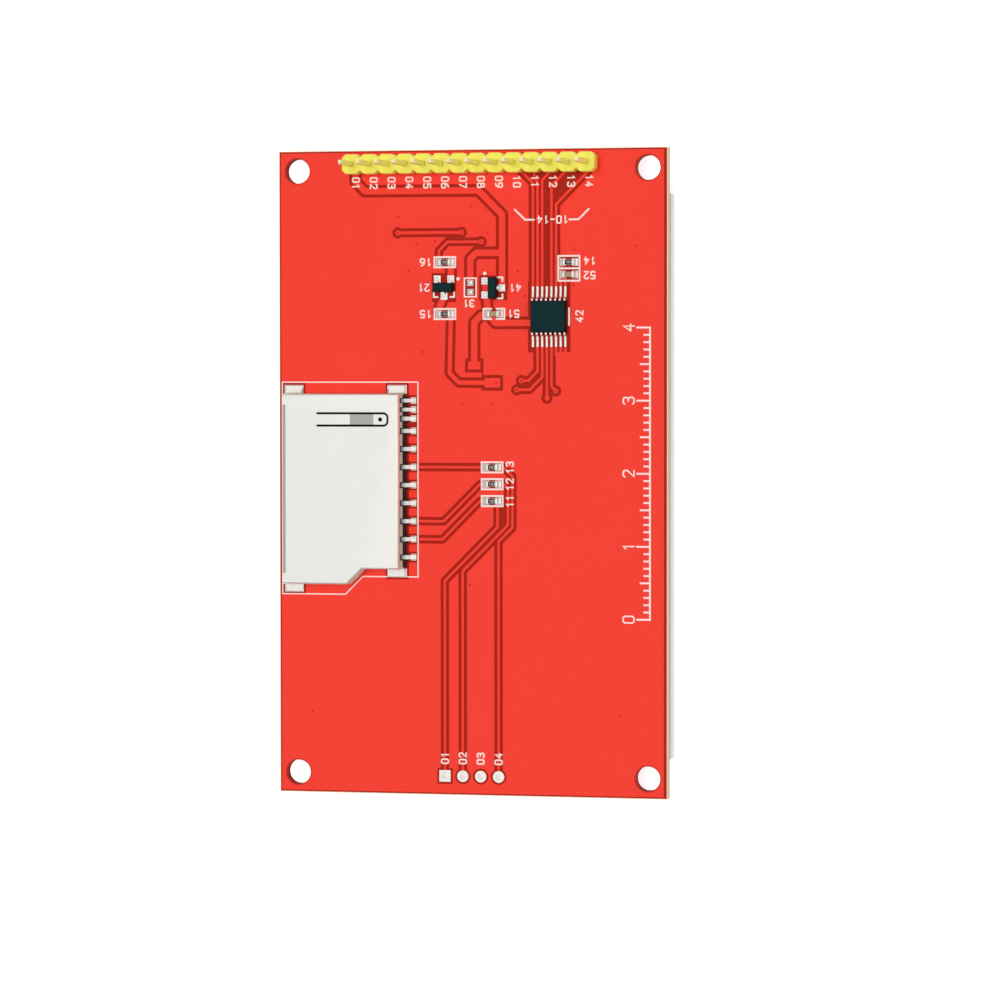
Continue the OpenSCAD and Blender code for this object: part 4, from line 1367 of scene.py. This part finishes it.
@dataclass
class CardSocket:
    """A card socket: folded steel shell, moulded base, contacts and their solder."""

    shop: Workshop
    solder: SolderWork
    bend: float = 0.24
    bend_steps: int = 4
    bend_turn: float = 30.0
    edge: float = 0.06
    edge_steps: int = 2
    near: float = 0.02
    level: float = 0.01
    least_fold: float = 1.9
    window: Flat = (4.0, 1.5)
    lip: float = 1.0
    # Faces that point up less than this take the walls' painted reflection and shade.
    upright: float = 0.3
    contact_fillet: float = 0.2
    tab_fillet: float = 0.23
    tab_pad: float = 2.5
    tab_inset: Flat = (0.25, 0.12)

    def build(self, pads: Sequence[Box]) -> None:
        """Builds the shell and base, and solders the contacts and tabs.

        Args:
            pads: Boxes of all pads.
        """
        # The contacts are darkened inside the socket as painted shade.
        self.shop.dress("contact_metal", "sd_contacts", "sd_switch_contacts")
        self.shell()
        base = softened("sd_base", "socket_base", self.edge, self.edge_steps)
        self.shop.mount(base, "socket_plastic", "sd_base")
        self.solder.under_feet("socket_solder", "sd_contacts", pads, self.contact_fillet)
        self.solder.under_feet("switch_solder", "sd_switch_contacts", pads, self.contact_fillet)
        self.tab_solder([pad for pad in pads if pad[1][0] - pad[0][0] > self.tab_pad])

    def shell(self) -> None:
        """Builds the shell: round folds along its top, crisp ones at the lip and finger, and matt tan-grey
        upright walls that are a painted reflection and shade of the steel.
        """
        far, side, top = node_box("sd_shell")[1]

        def is_fold(a: Vector, b: Vector) -> bool:
            """Says whether an edge is one of the long folds along the shell's top.

            Args:
                a: One end of the edge.
                b: Its other end.

            Returns:
                True for a fold, and False at the mouth and round the finger's window.
            """
            mouth = abs(a.x - b.x) < self.level and a.x < far - self.near
            window = min(a.y, b.y) > self.window[0] and max(a.y, b.y) < side - self.window[1]
            long = min(a.z, b.z) > top - self.near and (a - b).length > self.least_fold
            return long and not mouth and not window

        shell = softened("sd_shell", "socket_shell", self.bend, self.bend_steps, is_fold, self.bend_turn)
        for edge in shell.data.edges:
            a, b = (shell.data.vertices[i].co / MM for i in edge.vertices)
            if abs(a.x - b.x) < self.level and a.x < far - self.lip:
                edge.use_edge_sharp = True
        # Upright faces take a matt tan-grey, painted reflection and shade in place of the steel's own mirror.
        second_finish(shell, lambda normal: abs(normal.z) < self.upright)
        self.shop.mount(shell, "shell_steel", "sd_shell", finishes=["shell_steel", "shell_walls_painted_reflection"])

    def tab_solder(self, pads: Sequence[Box]) -> None:
        """Solders the shell's four tabs.

        Args:
            pads: Boxes of the tabs' pads.
        """
        shape = Shape("tab_solder")
        dx, dy = self.tab_inset
        for pad in pads:
            (x0, y0), (x1, y1) = footprint(pad)
            self.solder.fillet(shape, pad, ((x0 + dx, y0 + dy), (x1 - dx, y1 - dy)), self.tab_fillet)
        self.solder.finish(shape)


# ------------------------------------------------------------------ small parts


@dataclass
class MouldedPart:
    """A moulded body with metal leads, such as the touch controller or a transistor."""

    shop: Workshop
    solder: SolderWork
    name: str
    fillet: float
    dimple: Flat | None = None
    dimple_r: float = 0.28
    dimple_profile: tuple[Flat, ...] = ((1.0, -0.02), (1.0, 0.004), (0.88, 0.008), (0.8, 0.002))
    dimple_shade: float = 40.0
    edge: float = 0.05
    edge_steps: int = 2
    edge_turn: float = 20.0
    # Faces that point up less than this take the darker sides, which are painted shade.
    faces_up: float = 0.8

    def build(self, pads: Sequence[Box]) -> None:
        """Builds the body and solders its leads.

        Args:
            pads: Boxes of all pads.
        """
        names = (f"{self.name}_body", f"{self.name}_case")
        body = softened(*names, self.edge, self.edge_steps, least_turn=self.edge_turn)
        # The sides are darker than the top of the same plastic: painted shade.
        second_finish(body, lambda normal: normal.z < self.faces_up)
        finishes = ["moulded_black", "moulded_flank_painted_shade"]
        self.shop.mount(body, "moulded_black", f"{self.name}_body", finishes=finishes)
        self.shop.dress("tin", f"{self.name}_leads")
        self.solder.under_feet(f"{self.name}_solder", f"{self.name}_leads", pads, self.fillet)
        if self.dimple:
            self.first_pin_mark()

    def first_pin_mark(self) -> None:
        """Builds the round mark that a mould's ejector pin leaves beside the first lead."""
        (x0, y0, _), (*_, top) = node_box(f"{self.name}_body")
        shape = Shape(f"{self.name}_mark")
        profile = [(self.dimple_r * width, top + rise) for width, rise in self.dimple_profile]
        shape.turned((x0 + self.dimple[0], y0 + self.dimple[1]), profile)
        self.shop.mount(shape.make(self.dimple_shade), "moulded_black")


@dataclass
class JumperPads:
    """The two open pads of the jumper, each with a low dome of solder."""

    solder: SolderWork
    area: Area = ((-0.8, 24.0), (0.6, 27.4))
    height: float = 0.16
    inset: float = 0.03
    corner: float = 0.2
    steps: int = 6

    def build(self, pads: Sequence[Box]) -> None:
        """Builds the domes.

        Args:
            pads: Boxes of all pads.
        """
        shape = Shape("jumper_solder")
        (left, low), (right, high) = self.area
        for pad in pads:
            (x0, y0, _), (x1, y1, z) = pad
            if left < x0 and x1 < right and low < y0 and y1 < high:
                rings = []
                for up, over in quarter_turn(self.steps)[:-1]:
                    area = shrunk(footprint(pad), self.inset + (x1 - x0) / 2 * over)
                    rings.append(raised(rounded_rectangle(area, self.corner), z + self.height * up))
                shape.stack(rings)
        self.solder.finish(shape)


class ChipKind(Enum):
    """Kinds of chip part, each with its body's slot."""

    RESISTOR = "resistor_body"
    CAPACITOR = "capacitor_body"


class ChipPaint(IntEnum):
    """Numbers of a chip part's finishes."""

    BODY = 0
    CAP = 1
    CORE = 2


@dataclass
class ChipPart:
    """A chip part between two soldered end caps."""

    shop: Workshop
    solder: SolderWork
    kind: ChipKind
    node: str
    mark: str = ""
    cap: float = 0.32
    cap_overlap: float = 0.05
    recess: float = 0.04
    film: float = 0.05
    film_inset: float = 0.07
    film_recess: float = 0.012
    body_recess: float = 0.03
    fine_edge: float = 0.02
    edge: float = 0.06
    edge_steps: int = 3
    corner_steps: int = 2
    least_corner: float = 0.004
    shade: float = 50.0
    solder_share: float = 0.62
    solder_margin: Flat = (0.01, 0.012)
    pen: NumberPrint = field(default_factory=lambda: NumberPrint(pen=0.045))
    mark_start: float = 0.37
    mark_height: float = 0.33
    mark_depth: Flat = (0.013, 0.004)

    def build(self, pads: Sequence[Box]) -> None:
        """Builds the body, its caps and its solder.

        Args:
            pads: Boxes of all pads.
        """
        (left, near, low), (right, far, high) = node_box(self.node)
        shape = Shape(f"{self.node}_chip")
        x0, x1 = left + self.cap, right - self.cap
        inner = ((x0 - self.cap_overlap, near + self.recess), (x1 + self.cap_overlap, far - self.recess))
        if self.kind is ChipKind.RESISTOR:
            top = ((x0, near + self.film_inset), (x1, far - self.film_inset))
            step = high - self.film
            self._slab(shape, inner, (low + self.recess, step), self.fine_edge, ChipPaint.CORE)
            self._slab(shape, top, (step, high - self.film_recess), self.fine_edge, ChipPaint.BODY)
        else:
            heights = (low + self.recess, high - self.body_recess)
            self._slab(shape, inner, heights, self.edge, ChipPaint.BODY)
        for start, end in ((left, x0), (x1, right)):
            self._slab(shape, ((start, near), (end, far)), (low, high), self.edge, ChipPaint.CAP)
        slot = self.kind.value
        self.shop.mount(shape.make(self.shade), slot, self.node, finishes=[slot, "tin", "ceramic"])
        self._solder(pads)
        if self.mark:
            self._write()

    def _slab(self, shape: Shape, area: Area, heights: Flat, edge: float, paint: ChipPaint) -> None:
        """Adds a block with round edges.

        Args:
            shape: Shape that it goes into.
            area: Lowest and highest corner, seen from above.
            heights: Lower and upper height.
            edge: Radius of its edges.
            paint: Number of the finish.
        """
        low, high = heights
        levels = [(edge * (1 - up), edge * over) for up, over in quarter_turn(self.edge_steps)]
        lower = [(inset, low + rise) for inset, rise in levels]
        upper = [(inset, high - rise) for inset, rise in reversed(levels)]
        rings = []
        for inset, z in lower + upper:
            corner = max(edge - inset, self.least_corner)
            rings.append(raised(rounded_rectangle(shrunk(area, inset), corner, self.corner_steps), z))
        shape.stack(rings, paint)

    def _solder(self, pads: Sequence[Box]) -> None:
        """Solders both ends to their pads.

        Args:
            pads: Boxes of all pads.
        """
        shape = Shape(f"{self.node}_solder")
        (left, near, low), (right, far, high) = node_box(self.node)
        out, beside = self.solder_margin
        for end, way in ((left, 1), (right, -1)):
            pad = next(p for p in pads if holds(p, (end, (near + far) / 2, low)))
            start, stop = sorted((end - out * way, end + (self.cap - 2 * out) * way))
            top = ((start, near - beside), (stop, far + beside))
            self.solder.fillet(shape, pad, top, (high - low) * self.solder_share)
        self.solder.finish(shape)

    def _write(self) -> None:
        """Prints the part's plain number on its top."""
        shape = Shape(f"{self.node}_value")
        box = node_box(self.node)
        (x, y, _), top = middle(box), box[1][2]
        number = Number(self.mark, (x - self.mark_start, y), Turn.UP, self.mark_height)
        self.pen.write(shape, number, *(top - depth for depth in self.mark_depth))
        self.shop.mount(shape.make(), "print")


# ---------------------------------------------------------------------- display


@dataclass
class FilmCable:
    """A film cable that leaves the display, turns half round and runs back under the board."""

    shop: Workshop
    node: str
    name: str
    bond: float
    thickness: float = 0.12
    bend_gap: float = 0.1
    corner: float = 0.15
    steps: int = 40
    shade: float = 40.0

    def build(self, display_low: float) -> None:
        """Builds the cable with a smooth bend.

        Args:
            display_low: The display's edge that the cable goes round.
        """
        (x0, _, low), (x1, back, high) = node_box(self.node)
        bend_y = display_low - self.bend_gap
        mid, radius = (low + high) / 2, (high - low) / 2

        def run(inset: float) -> list[Flat]:
            """Gives one side of the cable, from the display round to the board.

            Args:
                inset: Distance in from the outside of the bend.

            Returns:
                Places along Y and Z.
            """
            turns = (math.pi * i / self.steps for i in range(self.steps + 1))
            r = radius - inset
            arc = [(bend_y - r * math.sin(t), mid - r * math.cos(t)) for t in turns]
            return [(self.bond, low + inset), *arc, (back, high - inset)]

        outside, inside = run(0.0), run(self.thickness)
        profile = outside + inside[::-1]
        ends = {0, len(outside) - 1, len(outside), len(profile) - 1}
        edge = self.corner
        rings = [
            [(x, y - (cut if i in ends else 0.0), z) for i, (y, z) in enumerate(profile)]
            for x, cut in ((x0, edge), (x0 + edge, 0.0), (x1 - edge, 0.0), (x1, edge))
        ]
        shape = Shape(self.name)
        shape.stack(rings)
        self.shop.mount(shape.make(self.shade), "flex_amber", self.node)


@dataclass
class DisplayStack:
    """The display: white frame, backlight sheets, glass cell with its polarizers, and tape."""

    shop: Workshop
    frame_edge: float = 0.15
    frame_steps: int = 2
    cable_bond: float = 2.0

    def build(self) -> None:
        """Dresses the display's nodes and builds its frame and cable."""
        self.shop.dress("foam", "mounting_tape")
        self.shop.dress("reflector_film", "reflector_sheet")
        self.shop.dress("clear_plastic", "light_guide")
        self.shop.dress("led_parts", "led_strip")
        self.shop.dress("diffuser_film", "diffuser_sheet")
        self.shop.dress("prism_film", "prism_sheet")
        self.shop.dress("polarizer_film", "rear_polarizer", "front_polarizer")
        self.shop.dress("display_glass", "lcd_rear_glass", "lcd_front_glass")
        self.shop.dress("silicon", "driver_chip")
        tray = softened("backlight_frame", "display_tray", self.frame_edge, self.frame_steps)
        self.shop.mount(tray, "frame_plastic", "backlight_frame")
        low = node_box("backlight_frame")[0][1]
        FilmCable(self.shop, "lcd_flex_cable", "display_cable", low + self.cable_bond).build(low)


@dataclass
class TouchPanel:
    """The touch panel: film over glass, with a grey spacer, black tape, silver lines and a tail."""

    shop: Workshop
    line: float = 0.3
    rows: tuple[float, ...] = (0.7, 1.25)
    depth: Flat = (0.165, 0.182)
    start: Flat = (1.1, 1.2)
    margin: float = 0.3
    run_back: Flat = (20.0, 4.0)
    tail_bond: float = 1.8

    def build(self) -> None:
        """Dresses the panel's nodes and builds its silver lines and tail."""
        self.shop.dress("border_black", "touch_tape")
        self.shop.dress("touch_glass", "touch_glass")
        self.shop.dress("spacer_grey", "touch_spacer")
        self.shop.dress("touch_film", "touch_film")
        self.silver_lines()
        bond = node_box("touch_film")[0][1] + self.tail_bond
        FilmCable(self.shop, "touch_flex_tail", "touch_tail", bond).build(node_box("backlight_frame")[0][1])

    def silver_lines(self) -> None:
        """Prints the silver lines that run round the film's border to the tail."""
        (x0, y0, _), (x1, y1, _) = node_box("touch_film")
        tail = middle(node_box("touch_flex_tail"))[0]
        shape = Shape("silver_lines")
        for side, edge in ((-1, x0), (1, x1)):
            for i, inset in enumerate(self.rows):
                start = tail + side * (self.start[0] + self.start[1] * i)
                wall, low, high = edge - side * inset, y0 + inset, y1 - inset
                end = wall - side * (self.run_back[0] - self.run_back[1] * i)
                path = ((start, y0 + self.margin), (start, low), (wall, low), (wall, high), (end, high))
                shape.line(path, self.line, *self.depth)
        self.shop.mount(shape.make(), "spacer_grey", finishes=["silver_ink"])


# ----------------------------------------------------------------------- studio


@dataclass(frozen=True)
class Lamp:
    """A broad, soft lamp, by the way that it shines and its strength."""

    name: str
    turn: Point
    strength: float
    spread: float


@dataclass
class Studio:
    """Plain pale floor, even white light and the camera."""

    camera_place: Point = (131.4898, 13.3723, 567.0532)
    camera_turn: Point = (-1.70877, 12.79874, -0.03952)
    lens: float = 150.25
    sensor: float = 36.0
    clip: Flat = (0.01, 20.0)
    sky: float = 0.36
    floor_glow: float = 0.7
    floor_span: float = 3000.0
    floor_depth: float = 20.0
    floor_speckle: float = 40.0
    floor_tints: tuple[Rgba, Rgba] = ((0.78, 0.78, 0.77, 1.0), (0.8, 0.8, 0.8, 1.0))
    bright_side: Point = (0.087, 0.02, 0.996)
    bright_from: Flat = (0.8, 0.93)
    mirrored: Flat = (0.42, 1.0)
    lamps: tuple[Lamp, ...] = (
        Lamp("key", (-2.0, -7.0, 0.0), 1.62, 26.0),
        Lamp("fill", (0.0, 65.0, 0.0), 0.5, 60.0),
    )

    def build(self) -> None:
        """Builds the camera, the floor, the lamps and the world."""
        self.camera()
        self.floor()
        for lamp in self.lamps:
            self.lamp(lamp)
        self.world()
        bpy.context.scene.view_settings.view_transform = "Standard"

    @staticmethod
    def turned(thing: Piece, turn: Point) -> None:
        """Turns an object by an angle in degrees round each axis."""
        thing.rotation_euler = Euler([math.radians(angle) for angle in turn])

    def camera(self) -> None:
        """Sets up the camera."""
        data = bpy.data.cameras.new("camera")
        data.sensor_width, data.lens = self.sensor, self.lens
        data.clip_start, data.clip_end = self.clip
        camera = linked("camera", data)
        camera.location = [c * MM for c in self.camera_place]
        self.turned(camera, self.camera_turn)
        bpy.context.scene.camera = camera

    def floor(self) -> None:
        """Builds the floor: white where it is seen, with a light shadow of the object."""
        half = self.floor_span / 2
        shape = Shape("floor")
        shape.prism(((-half, -half), (half, -half), (half, half), (-half, half)), -self.floor_depth, 0.0)
        material = bpy.data.materials.new("floor_white")
        material.use_nodes = True
        graph = Graph(material.node_tree)
        path = graph.add("LightPath").outputs
        unseen = graph.sum("MAXIMUM", path["Is Glossy Ray"], path["Is Transmission Ray"])
        seen = graph.sum("MAXIMUM", path["Is Camera Ray"], unseen)
        tint = graph.mix(graph.noise(self.floor_speckle), *self.floor_tints)
        matt = graph.add("BsdfDiffuse", Color=tint)
        glow = graph.add("Emission", Strength=graph.sum("MULTIPLY", seen, self.floor_glow))
        both = graph.add("AddShader")
        for socket, shader in zip(both.inputs, (matt, glow)):
            graph.feed(socket, shader.outputs[0])
        graph.add("OutputMaterial", Surface=both.outputs[0])
        floor = shape.make()
        floor.data.materials.append(material)

    def lamp(self, lamp: Lamp) -> None:
        """Sets up one lamp.

        Args:
            lamp: The lamp.
        """
        data = bpy.data.lights.new(lamp.name, "SUN")
        data.energy, data.angle = lamp.strength, math.radians(lamp.spread)
        thing = linked(lamp.name, data)
        thing.visible_glossy = False
        self.turned(thing, lamp.turn)

    def world(self) -> None:
        """Sets up the world: even light, white where it is seen, grey away from its bright side in metal."""
        world = bpy.data.worlds.new("white_room")
        bpy.context.scene.world = world
        world.use_nodes = True
        graph = Graph(world.node_tree)
        path = graph.add("LightPath").outputs
        facing = graph.add("VectorMath", {"operation": "DOT_PRODUCT"})
        graph.feed(facing.inputs[0], graph.add("TexCoord").outputs["Generated"])
        graph.feed(facing.inputs[1], self.bright_side)
        limits = dict(zip(("From_Min", "From_Max", "To_Min", "To_Max"), (*self.bright_from, *self.mirrored)))
        high = graph.add("MapRange", Value=facing.outputs["Value"], **limits).outputs[0]
        mirrored = graph.sum("MULTIPLY", path["Is Glossy Ray"], high)
        straight = graph.sum("MAXIMUM", path["Is Camera Ray"], path["Is Transmission Ray"])
        seen = graph.sum("MAXIMUM", straight, mirrored)
        other = graph.sum("SUBTRACT", 1.0, graph.sum("MAXIMUM", straight, path["Is Glossy Ray"]))
        strength = graph.sum("MULTIPLY_ADD", other, self.sky, seen)
        light = graph.add("Background", Color=(1.0, 1.0, 1.0, 1.0), Strength=strength)
        graph.add("OutputWorld", Surface=light.outputs[0])


# ------------------------------------------------------------------------- main


def main() -> None:
    """Builds the module's sub-assemblies in order."""
    logging.basicConfig(level=logging.INFO, format="%(name)s: %(message)s")
    shop = Workshop()
    solder = SolderWork(shop)
    pads = island_boxes("rear_pads")
    Studio().build()
    CircuitBoard(shop).build()
    PinHeader(shop).build()
    CardSocket(shop, solder).build(pads)
    MouldedPart(shop, solder, "touch_controller", fillet=0.05, dimple=(0.75, 0.75)).build(pads)
    MouldedPart(shop, solder, "regulator", fillet=0.06).build(pads)
    MouldedPart(shop, solder, "transistor", fillet=0.06).build(pads)
    JumperPads(solder).build(pads)
    for i, mark in enumerate(("103", "103", "103", "104", "101", "102"), 1):
        ChipPart(shop, solder, ChipKind.RESISTOR, f"resistor_{i}", mark).build(pads)
    for i in (1, 2):
        ChipPart(shop, solder, ChipKind.CAPACITOR, f"capacitor_{i}").build(pads)
    DisplayStack(shop).build()
    TouchPanel(shop).build()
    LOG.info("all pieces are in place")


if __name__ == "__main__":
    main()
